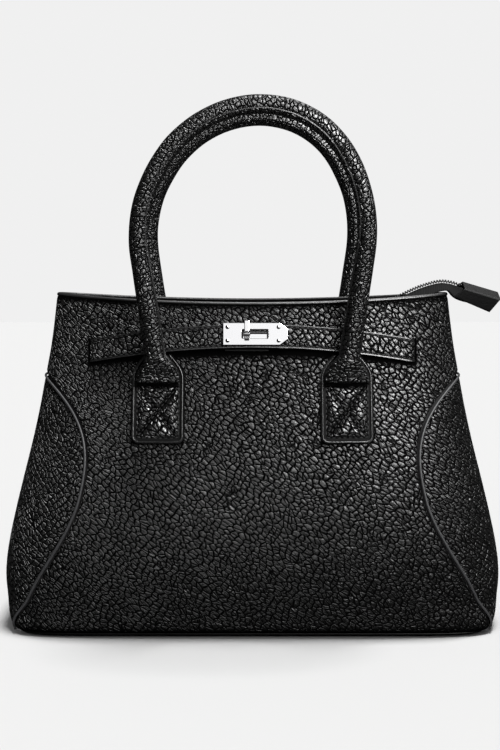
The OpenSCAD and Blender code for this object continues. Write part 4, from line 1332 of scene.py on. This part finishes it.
def handle_seam_front(share):
    """The front handle's seam: at the inner side, turned a little to the front, more at the crown."""
    low = mix(180, 148, smooth((share - 0.38) / 0.16))
    return math.radians(mix(low, 126, smooth((share - 0.45) / 0.5)))


def handle_seam_back(share):
    """The back handle's seam, before the handle is mirrored to the back."""
    return 2 * math.pi - math.radians(mix(92, 106, smooth((share - 0.3) / 0.6)))


class BAG_OT_handles(bpy.types.Operator):
    """Makes the leather of both handles"""
    bl_idname = "bag.handles"
    bl_label = "Handles"

    def execute(self, context):
        handle = Handle(context.scene)
        finish = (material("pebbled_handle"), material("painted_edge"))
        front = finished("handle_leather_front", handle_mesh(handle, handle_seam_front), *finish)
        back_mesh = handle_mesh(handle, handle_seam_back)
        bmesh.ops.scale(back_mesh, vec=(1, -1, 1), verts=back_mesh.verts)
        bmesh.ops.reverse_faces(back_mesh, faces=back_mesh.faces)
        back = finished("handle_leather_back", back_mesh, *finish)
        for piece, name, side in ((front, "front_handle", 1), (back, "back_handle", -1)):
            dress(piece, None, "bag_leather", name + "_cover")
            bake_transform(piece)
            finish_solid(name + "_core", "cord_core")
        for node in ("front_tab_backings", "back_tab_backings", "belt_anchors"):
            finish_solid(node, "stiffener")
        return {"FINISHED"}


class Tab:
    """One of the tabs sewn to the front: its outline and its stitched field."""

    def __init__(self, scene):
        self.size = scene.bag_handle
        self.body = Body(scene)
        self.edge = scene.bag_stitch.edge

    def half(self, z):
        size = self.size
        start = size.crease_height + size.tab_corner
        r = size.tab_corner
        if z < size.tab_low + r:
            return size.tab_width / 2 - r + math.sqrt(max(0.0, r * r - (size.tab_low + r - z) ** 2))
        if z < start:
            return size.tab_width / 2
        share = (z - start) / (size.tab_shoulder - start)
        return mix(size.shoulder_width / 2, size.tab_width / 2, math.cos(math.pi / 2 * clamp(share)))

    def field(self):
        """Low, high and half width of the stitched field below the crease."""
        size = self.size
        return size.tab_low + self.edge, size.crease_height - 0.0005, size.tab_width / 2 - self.edge

    def inside(self, x, z):
        """Distance from the tab's outline."""
        size = self.size
        r = size.tab_corner
        out, down = abs(x) - (size.tab_width / 2 - r), size.tab_low + r - z
        if out > 0 and down > 0:
            return r - math.hypot(out, down)
        return min(self.half(z) - abs(x), z - size.tab_low)

    def off(self, x, z):
        """Height of the tab's face off the panel, at x from its middle."""
        size = self.size
        low, high, half = self.field()
        top = size.tab + self.body.size.layer_gap
        inside = self.inside(x, z)
        if inside < size.border:
            return top + size.border_rise * math.sin(math.pi * clamp(inside / size.border))
        if not (low < z < high and abs(x) < half):
            return top - size.groove * smooth((inside - size.border) / 0.0005)
        middle = (low + high) / 2
        slope = (high - low) / 2 / half
        cross = abs(abs(z - middle) - slope * abs(x)) / math.sqrt(1 + slope * slope)
        near = min(cross, z - low, high - z, half - abs(x))
        return top - size.groove + (size.puff + size.groove) * math.sin(math.pi / 2 * clamp(near / 0.0048))

    def mesh(self):
        size, body = self.size, self.body
        r = size.tab_corner
        heights = spread(size.tab_low, size.tab_low + r, 11)
        heights += spread(size.tab_low + r, size.crease_height + r, 80)[1:]
        heights += spread(size.crease_height + r, size.tab_shoulder, 26)[1:]
        lips = [0.0, 0.0003, 0.0006, size.border, size.border + 0.0004, size.border + 0.001]
        count = 60
        total = count + 2 * (len(lips) - 1)

        def flat(column, row):
            z = heights[row]
            half = self.half(z)
            near = min(column, total - column)
            if near < len(lips):
                x = half - lips[near]
                return (-x if column < total / 2 else x), z
            share = (column - len(lips) + 1) / count
            return mix(-half + lips[-1], half - lips[-1], share), z

        def place(column, row):
            x, z = flat(column, row)
            return body.front(size.foot_spread / 2 + x, z, -self.off(x, z))

        def paint(column, row):
            (x0, z0), (x1, z1) = flat(column, row), flat(column + 1, row + 1)
            z = (z0 + z1) / 2
            inside = self.inside((x0 + x1) / 2, z)
            if inside < size.border:
                return 1
            # Index 2 is seam_shadow: painted shadow in the groove inside the border and under the flare.
            return 2 if inside < self.edge + 0.0002 or z > self.field()[1] else 0

        return mapped_grid(total, len(heights) - 1, place, paint=paint)

    def rows(self):
        """The rows of stitches: round the tab's edge and across its field."""
        size = self.size
        low, high, half = self.field()
        r = size.tab_corner - self.edge
        heights = spread(low + r, size.tab_shoulder - 0.004, 40)
        bottom = [(x + r * math.cos(a), low + r + r * math.sin(a))
                  for x, first in ((-half + r, math.pi), (half - r, 1.5 * math.pi))
                  for a in spread(first, first + math.pi / 2, 6)]
        around = [(-self.half(z) + self.edge, z) for z in reversed(heights)] + bottom
        around += [(self.half(z) - self.edge, z) for z in heights]
        across = [[(mix(-side, side, t), mix(low, high, t)) for t in spread(0.03, 0.97, 20)]
                  for side in (half, -half)]
        return [around] + across


class BAG_OT_tabs(bpy.types.Operator):
    """Makes the four tabs that hold the handles, with their stitching"""
    bl_idname = "bag.tabs"
    bl_label = "Handle tabs"

    def execute(self, context):
        tab = Tab(context.scene)
        size = tab.size
        finish = (material("pebbled_tab"), material("painted_edge"), material("seam_shadow"))
        right = finished("tab_front_right", tab.mesh(), *finish)
        thread = bmesh.new()
        for row in tab.rows():
            line = [tab.body.front(size.foot_spread / 2 + x, z, -tab.off(x, z) - 0.00012) for x, z in row]
            stitch_row(thread, line, lambda p: Vector((0, -1, 0.15)), context.scene.bag_stitch)
        tabs = {"front_right": (right, finished("tab_stitches_front_right", thread, material("thread")))}
        for name, source, axis in (("front_left", "front_right", "x"), ("back_right", "front_right", "y"),
                                   ("back_left", "front_left", "y")):
            leather, seam = tabs[source]
            tabs[name] = (mirrored("tab_" + name, leather, axis),
                          mirrored("tab_stitches_" + name, seam, axis))
        for name, (leather, seam) in tabs.items():
            thicken(leather, size.tab, edge=0.0006, painted=True)
            dress(leather, "bag", "bag_leather", name + "_tab")
            dress(seam, "bag", "piping_leather")
        return {"FINISHED"}


# Belt and clasp


class Belt:
    """The belt along the front, by its distance from the middle."""

    def __init__(self, scene):
        self.size = scene.bag_belt
        self.body = Body(scene)
        size, gap = self.size, self.body.size.layer_gap
        self.under = scene.bag_clasp.base + 3 * gap
        self.over = self.under + size.thickness + gap
        self.plate_off = self.over + size.thickness + gap

    def height(self, x):
        return mix(self.size.middle_height, self.size.end_height, (x / self.size.slit) ** 2)

    def off(self, x, at_clasp):
        share = clamp(abs(x) / self.size.slit)
        return mix(at_clasp, self.size.lift, share * share)

    def mesh(self, end, at_clasp):
        size, body = self.size, self.body
        straight = spread(end, size.slit - 1.6 * size.thickness, 110)
        outer = [(x, self.off(x, at_clasp) + size.thickness) for x in straight]
        hook = size.slit + size.thickness
        bend = 2.2 * size.thickness
        centre = (hook - bend, size.lift + size.thickness - bend)
        for a in spread(0, math.pi / 2, 9)[1:]:
            outer.append((centre[0] + bend * math.sin(a), centre[1] + bend * math.cos(a)))
        outer.append((hook, min(-body.size.leather, outer[-1][1] - 0.0005)))
        rows = [0.0, 0.0004, 0.0008, 0.0012, 0.0016, 0.0021]
        across = rows + spread(rows[-1], size.width - rows[-1], 8)[1:-1]
        across += [size.width - low for low in reversed(rows)]

        def place(column, row):
            x, off = outer[column]
            low = across[row]
            z = self.height(min(abs(x), size.slit)) - size.width / 2 + low
            near = min(low, size.width - low)
            groove = size.groove_depth * (1 - clamp(2 * abs(near - size.groove) / size.groove))
            return body.front(x, z, -(off - groove))

        def paint(column, row):
            near = min(across[row + 1], size.width - across[row])
            # Index 2 is seam_shadow: painted shadow along the stitched groove.
            return 1 if near < 0.0009 else 2 if near < 0.0022 else 0

        return mapped_grid(len(outer) - 1, len(across) - 1, place, paint=paint), outer

    def seams(self, mesh, outer, stitches):
        """The two rows of stitches along the belt."""
        for low in (self.size.groove, self.size.width - self.size.groove):
            line = []
            for x, off in outer[:-3]:
                z = self.height(x) - self.size.width / 2 + low
                line.append(self.body.front(x, z, -off - 0.00002))
            stitch_row(mesh, line, lambda p: Vector((0, -1, 0.2)), stitches)

    def on_plate(self):
        """The frame of the plate: x along the belt, y up, z outwards."""
        place, up, out = self.body.front_frame(self.size.middle_height)
        turn = Matrix((Vector((1, 0, 0)), up, out)).transposed().to_4x4()
        return Matrix.Translation(place) @ turn


class BAG_OT_belt(bpy.types.Operator):
    """Makes the two halves of the belt with their stitching"""
    bl_idname = "bag.belt"
    bl_label = "Belt"

    def execute(self, context):
        belt = Belt(context.scene)
        size, clasp = belt.size, context.scene.bag_clasp
        middle = clasp.window_left + clasp.window_length / 2
        finish = (material("pebbled_belt"), material("painted_edge"), material("seam_shadow"))
        for name, node, end, at_clasp, window, flip in (
            ("belt_leather_right", "belt_right", -clasp.plate_left, belt.under, middle, False),
            ("belt_leather_left", "belt_left", -clasp.plate_right, belt.over, -middle, True),
        ):
            mesh, outer = belt.mesh(end, at_clasp)
            cut_slit(mesh, window, size.middle_height, clasp.window_length, clasp.window_height)
            thread = bmesh.new()
            belt.seams(thread, outer, context.scene.bag_stitch)
            piece = finished(name, mesh, *finish)
            seam = finished(name.replace("leather", "stitches"), thread, material("thread"))
            if flip:
                whole = mirrored(name + "_half", piece, "x")
                sewn = mirrored(seam.name + "_half", seam, "x")
                bpy.data.objects.remove(piece)
                bpy.data.objects.remove(seam)
                whole.name, sewn.name = name, name.replace("leather", "stitches")
                piece, seam = whole, sewn
            thicken(piece, size.thickness, edge=0.0005, painted=True)
            dress(piece, "bag", "bag_leather", node)
            dress(seam, "bag", "piping_leather")
        return {"FINISHED"}


def block(mesh, at, low, high):
    """Adds a box between two corners."""
    low, high = Vector(low), Vector(high)
    turn = at @ Matrix.Translation((low + high) / 2) @ Matrix.Diagonal((*(high - low), 1))
    bmesh.ops.create_cube(mesh, size=1, matrix=turn)


def drum(mesh, at, centre, inner, outer, low, high):
    """Adds a ring about an axis along x, from low to high."""
    edge = 0.0003
    profile = [(low, inner), (low, outer - edge), (low + edge, outer), (high - edge, outer),
               (high, outer - edge), (high, inner)]
    middle = Vector((0, *centre))
    verts = [mesh.verts.new(at @ (middle + Vector((x, 0, r)))) for x, r in profile]
    edges = [mesh.edges.new((verts[k], verts[k - 1])) for k in range(len(verts))]
    bmesh.ops.spin(mesh, geom=verts + edges, cent=at @ middle, axis=at.to_3x3() @ Vector((1, 0, 0)),
                   angle=2 * math.pi, steps=40, use_merge=True)


class BAG_OT_clasp(bpy.types.Operator):
    """Makes the clasp: its face plate, screws, rod and toggle"""
    bl_idname = "bag.clasp"
    bl_label = "Clasp"

    def execute(self, context):
        belt = Belt(context.scene)
        size = context.scene.bag_clasp
        at = belt.on_plate()
        out = at.to_3x3() @ Vector((0, 0, 1))
        steel = material("polished_steel")
        top = belt.plate_off + size.plate
        left, right, half = -size.plate_left, size.plate_right, size.plate_height / 2
        window = (size.window_left, size.window_left + size.window_length)
        tall = size.window_height / 2

        mesh = bmesh.new()
        outline = [(left, -half), (right - size.point, -half), (right, -half + size.point_height),
                   (right, half - size.point_height), (right - size.point, half), (left, half)]
        r = size.window_corner
        corners = ((window[1] - r, tall - r), (window[0] + r, tall - r), (window[0] + r, r - tall),
                   (window[1] - r, r - tall))
        hole = [(x + r * math.cos(a), y + r * math.sin(a)) for k, (x, y) in enumerate(corners)
                for a in spread(k * math.pi / 2, (k + 1) * math.pi / 2, 5)]
        edges = []
        for line in (outline, hole):
            verts = [mesh.verts.new(at @ Vector((x, y, top))) for x, y in line]
            edges += [mesh.edges.new((verts[k - 1], verts[k])) for k in range(len(verts))]
        bmesh.ops.triangle_fill(mesh, use_beauty=True, edges=edges, normal=out)
        mesh.faces.ensure_lookup_table()
        if mesh.faces[0].normal.dot(out) < 0:
            bmesh.ops.reverse_faces(mesh, faces=mesh.faces)
        face = finished("clasp_face", mesh, steel)
        thicken(face, size.plate)
        round_edges(face, 0.0003, 40)
        dress(face, "bag", "polished_steel", "clasp_plate")

        mesh = bmesh.new()
        dome = Matrix.Diagonal((size.screw, size.screw, size.screw_dome, 1))
        for x in (left + size.screw_inset, right - size.point - size.screw_inset / 4):
            for side in (-1, 1):
                place = at @ Matrix.Translation((x, side * (half - size.screw_inset), top))
                bmesh.ops.create_uvsphere(mesh, u_segments=28, v_segments=14, radius=1, matrix=place @ dome)
        dress(finished("clasp_studs", mesh, material("stud_steel")), "bag", "polished_steel", "clasp_screws")

        play = size.play
        mesh = bmesh.new()
        first = window[0] + size.toggle_inset
        last = first + size.toggle_width
        ends = (window[0] + 2 * play, window[1] - 2 * play)
        axle = (-size.rod_drop, top)
        for low, high in ((ends[0], first - play), (last + play, ends[1])):
            block(mesh, at, (low, play - tall, top - size.stub_low), (high, -play, top - size.stub_high))
        drum(mesh, at, axle, 0.0004, size.rod, first - 6 * play, last + 6 * play)
        drum(mesh, at, (size.wire_rise, top - size.wire_sink), 0.0001, size.wire, *ends)
        knob = (axle[0] - size.knob_drop, top + size.knob_proud)
        drum(mesh, at, knob, 0.0002, size.knob, first + play, last - play)
        bmesh.ops.recalc_face_normals(mesh, faces=mesh.faces)
        rod = dress(finished("clasp_bar", mesh, steel), "bag", "polished_steel", "clasp_rod")

        mesh = bmesh.new()
        drum(mesh, at, axle, size.bore, size.collar, first, last)
        block(mesh, at, (first + play, size.toggle_low, top + size.toggle_off),
              (last - play, half + size.toggle_past, top + size.toggle_face))
        bmesh.ops.recalc_face_normals(mesh, faces=mesh.faces)
        peg = finished("clasp_peg", mesh, steel)
        round_edges(peg, 0.0004, 60)
        dress(peg, "toggle", "polished_steel", "clasp_toggle")
        for piece in (face, rod, peg):
            for polygon in piece.data.polygons:
                polygon.use_smooth = False
        for node in ("zip_slider", "zip_puller"):
            finish_solid(node, "polished_steel")
        # The base behind the belt gets the near-black steel: painted shade.
        finish_solid("clasp_base", "dark_steel")
        return {"FINISHED"}


# Zip


class Zip:
    """The zip's tail: its ridge, its half width and the drop of its sides along its length."""

    inner = ((0, 0.044, 0.88, 0.06), (0.1, 0.142, 1, 0.18), (0.21, 0.33, 1, 0.37),
             (0.34, 0.51, 0.98, 0.62), (0.47, 0.67, 0.92, 0.86), (0.63, 0.83, 0.79, 0.84),
             (0.78, 0.94, 0.67, 0.75), (0.91, 1, 0.56, 0), (1.01, 0.985, 0.54, 0))
    outer = ((0.25, 0.945, 0.54, 1), (0.53, 0.87, 0.5, 1.1), (1, 0.775, 0.41, 1.04))

    def __init__(self, scene):
        size = self.size = scene.bag_zip
        self.body = Body(scene)
        body = self.body.size
        self.rim_x = body.rim_length / 2
        self.crest = body.height - size.height + size.tail_arch
        start = size.end + 2 * body.seam_gap

        def station(x, shares):
            high, half = self.crest * shares[1], size.tail_width / 2
            drop = half * shares[3] if shares[3] else high - (body.height - size.height) - size.tape - 0.0003
            return Vector((x, high, half * shares[2], drop))

        self.path = [station(mix(start, self.rim_x, s[0]), s) for s in self.inner]
        self.path += [station(self.rim_x + size.tail_past * s[0], s) for s in self.outer]

    def stations(self, steps, last=None):
        """The path passed smoothly, with some steps between two stations."""
        path = self.path[:last]
        made = []
        for k in range(len(path) - 1):
            a, b, c, d = path[max(k - 1, 0)], path[k], path[k + 1], path[min(k + 2, len(path) - 1)]
            for t in spread(0, 1, steps)[:-1]:
                made.append(0.5 * (2 * b + (c - a) * t + (2 * a - 5 * b + 4 * c - d) * t * t
                                   + (3 * b - a - 3 * c + d) * t**3))
        return made + [path[-1]]


def coil_mesh(line, radius, pitch, wire, per_turn=10, sides=6):
    """A helix of round wire along a line of points."""
    spans = distances(line)
    turns = round(spans[-1] / pitch)
    points = []
    for k in range(turns * per_turn + 1):
        distance = spans[-1] * k / (turns * per_turn)
        j = next((j for j in range(1, len(line)) if distance <= spans[j] + 1e-9), len(line) - 1)
        share = clamp((distance - spans[j - 1]) / (spans[j] - spans[j - 1]))
        point = line[j - 1].lerp(line[j], share)
        along = (line[j] - line[j - 1]).normalized()
        side = Vector((0, 1, 0))
        up = along.cross(side).normalized() * -1
        a = 2 * math.pi * k / per_turn
        points.append(point + (radius - wire) * (math.cos(a) * side + math.sin(a) * up))
    return tube(points, wire, sides, Vector((1, 0, 0)))


class BAG_OT_zip(bpy.types.Operator):
    """Makes the zip below the rim: its strips, tapes and coils"""
    bl_idname = "bag.zip"
    bl_label = "Zip"

    def execute(self, context):
        body = Body(context.scene)
        size = context.scene.bag_zip
        gap = body.size.layer_gap
        coil_y = size.coil + gap
        tape_y = coil_y + size.coil + gap
        strip_y = tape_y + size.tape_width * 0.6
        strip_low = size.height + size.tape / 2 + gap
        deep = body.size.leather + body.size.facing + 2 * gap
        ends = (size.start + size.wire, size.end - size.wire)
        line = [Vector((x, -coil_y, size.height)) for x in spread(*ends, 4)]
        coil = coil_mesh(line, size.coil, size.pitch, size.wire)
        coil = finished("coil_front", coil, material("zip_nylon"))

        def tape_place(column, row):
            x = mix(size.start, size.end, column / 90)
            y = -tape_y - size.tape_width * row / 8
            pucker = 0.0001 * abs(math.sin(column * 1.7)) * (row > 3)
            return Vector((x, y, size.height + size.tape / 2 - pucker))

        tape = mapped_grid(90, 8, tape_place)
        bmesh.ops.reverse_faces(tape, faces=tape.faces)
        tape = finished("tape_front", tape, material("zip_cloth"))
        thicken(tape, size.tape)
        edge = math.asin(strip_y / body.half(size.height, deep)[1]) * 1.12

        def strip_place(column, row):
            turn = mix(math.pi - edge, edge, column / 80)
            wall = body.wall(turn, strip_low + size.strip, deep)
            y = mix(wall.y, -strip_y, row / 8)
            ripple = 0.6 + 0.4 * noise.noise(Vector((wall.x * 40, 1, 2)))
            sag = 0.0005 * math.sin(math.pi * row / 8) * ripple
            return Vector((wall.x, y, strip_low + size.strip - sag))

        strip = finished("strip_front", mapped_grid(80, 8, strip_place), material("zip_cloth"))
        thicken(strip, size.strip)
        for piece, name, slot in ((coil, "coil", "zip_nylon"), (tape, "tape", "zip_cloth"),
                                  (strip, "strip", "zip_cloth")):
            other = mirrored(name + "_back", piece, "y")
            for half, side in ((piece, "front"), (other, "back")):
                dress(half, "bag", slot, side + "_zip_" + name)
                wall = (0, -strip_y if side == "front" else strip_y, size.height)
                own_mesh(half)

        low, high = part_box("zip_start_patch")

        def patch_place(column, row):
            return Vector((mix(low.x, high.x, column / 12), mix(low.y, high.y, row / 14), high.z))

        patch = finished("zip_start_leather", mapped_grid(12, 14, patch_place), material("smooth_leather"),
                         material("painted_edge"))
        thicken(patch, high.z - low.z, edge=0.0003, painted=True)
        dress(patch, "bag", "bag_leather", "zip_start_patch")
        return {"FINISHED"}


class BAG_OT_tail(bpy.types.Operator):
    """Makes the zip's tail and the tab over its end"""
    bl_idname = "bag.tail"
    bl_label = "Zip tail"

    def execute(self, context):
        tail = Zip(context.scene)
        size = tail.size
        stations = tail.stations(8)
        rows = 12

        def place(column, row):
            x, high, half, drop = stations[column]
            side = 1 - 2 * row / rows
            bend = abs(side) ** 1.15
            return Vector((x, -half * side, size.height + high - drop * bend))

        tape = finished("tail_tape", mapped_grid(len(stations) - 1, rows, place), material("tail_cloth"))
        thicken(tape, size.tape)
        path = tail.stations(8, len(tail.path) - 1)
        line = []
        for k, (x, high, half, drop) in enumerate(path):
            a, b = path[max(k - 1, 0)], path[min(k + 1, len(path) - 1)]
            up = Vector((a.y - b.y, b.x - a.x)).normalized()
            lift = size.coil + tail.body.size.layer_gap
            line.append(Vector((x + lift * up.x, 0, size.height + high + lift * up.y)))
        mesh = coil_mesh(line, size.coil, size.tail_pitch, size.tail_wire)
        coil = finished("tail_coil", mesh, material("tail_nylon"))
        for piece, slot, node in ((tape, "zip_cloth", "zip_tail_tape"), (coil, "zip_nylon", "zip_tail_coil")):
            dress(piece, None, slot, node)
            start = Vector((size.end + 0.0005, 0, size.height))
            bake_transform(piece)

        start = Vector((tail.rim_x + size.tab_past, tail.crest - size.tab_sink))
        end = start + Vector((size.tab_length, -size.tab_fall))

        def corner(share, side, flap):
            x, high = start.lerp(end, share)
            y = side * (size.tab_width / 2 + size.tab_flare * flap)
            fall = flap * mix(size.tab_drop, size.tab_end_drop, share)
            return Vector((x - flap * size.tab_slant, y, size.height + high + side * size.tab_tilt - fall))

        profile = [(1, f) for f in spread(1, 0, 9)[:-1]] + [(s, 0) for s in spread(1, -1, 12)]
        profile += [(-1, f) for f in spread(0, 1, 9)[1:]]

        def place_tab(column, row):
            side, flap = profile[row]
            return corner(column / 20, side, flap)

        # The flaps take the darker leather: painted shade on the end tab's sides.
        last = len(profile) - 9
        mesh = mapped_grid(20, len(profile) - 1, place_tab,
                           paint=lambda column, row: int(row < 8 or row >= last))
        bmesh.ops.recalc_face_normals(mesh, faces=mesh.faces)
        if max(mesh.faces, key=lambda face: face.calc_center_median().z).normal.z < 0:
            bmesh.ops.reverse_faces(mesh, faces=mesh.faces)
        tab = finished("tail_tab", mesh, material("tail_leather"), material("flank_leather"))
        thicken(tab, size.tab, edge=0.0004)
        dress(tab, "zip_tail", "bag_leather", "zip_end_tab")
        return {"FINISHED"}


# Stage


class BAG_OT_stage(bpy.types.Operator):
    """Sets the floor, the lights and the camera"""
    bl_idname = "bag.stage"
    bl_label = "Stage"

    def execute(self, context):
        scene = context.scene
        camera = scene.bag_camera
        floor_finish = Finish("floor", base_color=scene.bag_finish.floor[:], roughness=1.0,
                              specular_ior_level=0.0)
        mesh = bmesh.new()
        bmesh.ops.create_grid(mesh, x_segments=4, y_segments=4, size=3)
        floor = finished("floor", mesh, floor_finish.material)
        floor.visible_glossy = False

        world = bpy.data.worlds.new("studio")
        world.use_nodes = True
        scene.world = world
        nodes, links = world.node_tree.nodes, world.node_tree.links
        nodes.clear()
        path = nodes.new("ShaderNodeLightPath")

        def background(strength):
            node = nodes.new("ShaderNodeBackground")
            node.inputs["Color"].default_value = (1, 1, 1, 1)
            node.inputs["Strength"].default_value = strength
            return node.outputs[0]

        def choose(ray, normal, special):
            node = nodes.new("ShaderNodeMixShader")
            links.new(path.outputs[ray], node.inputs[0])
            links.new(normal, node.inputs[1])
            links.new(special, node.inputs[2])
            return node.outputs[0]

        lights = scene.bag_lights
        around = choose("Is Glossy Ray", background(lights.around), background(lights.reflected))
        output = nodes.new("ShaderNodeOutputWorld")
        links.new(choose("Is Camera Ray", around, background(lights.behind)), output.inputs["Surface"])

        def place(name, data, way):
            item = bpy.data.objects.new(name, data)
            scene.collection.objects.link(item)
            item.rotation_euler = way.to_track_quat("Z", "Y").to_euler()
            return item

        aim = Vector((0, 0, 0.18))
        for name, azimuth, height, distance, size, glow in (
            ("key", lights.key_azimuth, lights.key_height, 0.85, (0.42, 0.42), lights.key),
            ("card", lights.card_azimuth, lights.card_height, 1.6, (0.7, 0.45), lights.card),
            ("rim", math.radians(150), math.radians(50), 1.4, (0.9, 0.5), lights.rim),
        ):
            data = bpy.data.lights.new(name, "AREA")
            data.shape = "RECTANGLE"
            data.size, data.size_y = size
            data.energy = glow * math.pi * size[0] * size[1]
            flat = math.cos(height)
            way = Vector((math.sin(azimuth) * flat, -math.cos(azimuth) * flat, math.sin(height)))
            light = place(name, data, way)
            light.visible_diffuse = False
            light.location = aim + distance * way
        data = bpy.data.lights.new("sun", "SUN")
        data.energy = lights.sun
        data.angle = lights.sun_width
        place("sun", data, Vector((0.10, 0.12, 1)))

        lens = bpy.data.cameras.new("camera")
        lens.lens = camera.lens
        lens.sensor_width = 36
        view = bpy.data.objects.new("camera", lens)
        scene.collection.objects.link(view)
        view.location = camera.place
        view.rotation_euler = (math.pi / 2 - camera.pitch, 0, 0)
        scene.camera = view
        scene.view_settings.view_transform = "Standard"
        return {"FINISHED"}


class BAG_PT_panel(bpy.types.Panel):
    """Lists the sizes and the steps of the bag"""
    bl_idname = "BAG_PT_panel"
    bl_label = "Bag"
    bl_space_type = "VIEW_3D"
    bl_region_type = "UI"
    bl_category = "Bag"

    def draw(self, context):
        for group in GROUPS:
            box = self.layout.box()
            box.label(text=GROUPS[group].__doc__)
            for key in GROUPS[group].__annotations__:
                box.prop(getattr(context.scene, group), key)
        for operator in STEPS:
            self.layout.operator(operator.bl_idname)


GROUPS = {
    "bag_body": BodySizes, "bag_wing": WingSizes, "bag_base": BaseSizes, "bag_handle": HandleSizes,
    "bag_belt": BeltSizes, "bag_clasp": ClaspSizes, "bag_zip": ZipSizes, "bag_stitch": StitchSizes,
    "bag_finish": Finishes, "bag_camera": Camera, "bag_lights": Lights,
}
STEPS = (BAG_OT_shell, BAG_OT_piping, BAG_OT_base, BAG_OT_inside, BAG_OT_handles, BAG_OT_tabs, BAG_OT_belt,
         BAG_OT_clasp, BAG_OT_zip, BAG_OT_tail, BAG_OT_stage)


def register():
    for group, kind in GROUPS.items():
        bpy.utils.register_class(kind)
        setattr(bpy.types.Scene, group, PointerProperty(type=kind))
    for kind in (*STEPS, BAG_PT_panel):
        bpy.utils.register_class(kind)


def unregister():
    for kind in (BAG_PT_panel, *reversed(STEPS)):
        bpy.utils.unregister_class(kind)
    for group, kind in GROUPS.items():
        delattr(bpy.types.Scene, group)
        bpy.utils.unregister_class(kind)


def main():
    register()
    for operator in STEPS:
        space, name = operator.bl_idname.split(".")
        getattr(getattr(bpy.ops, space), name)()


if __name__ == "__main__":
    main()
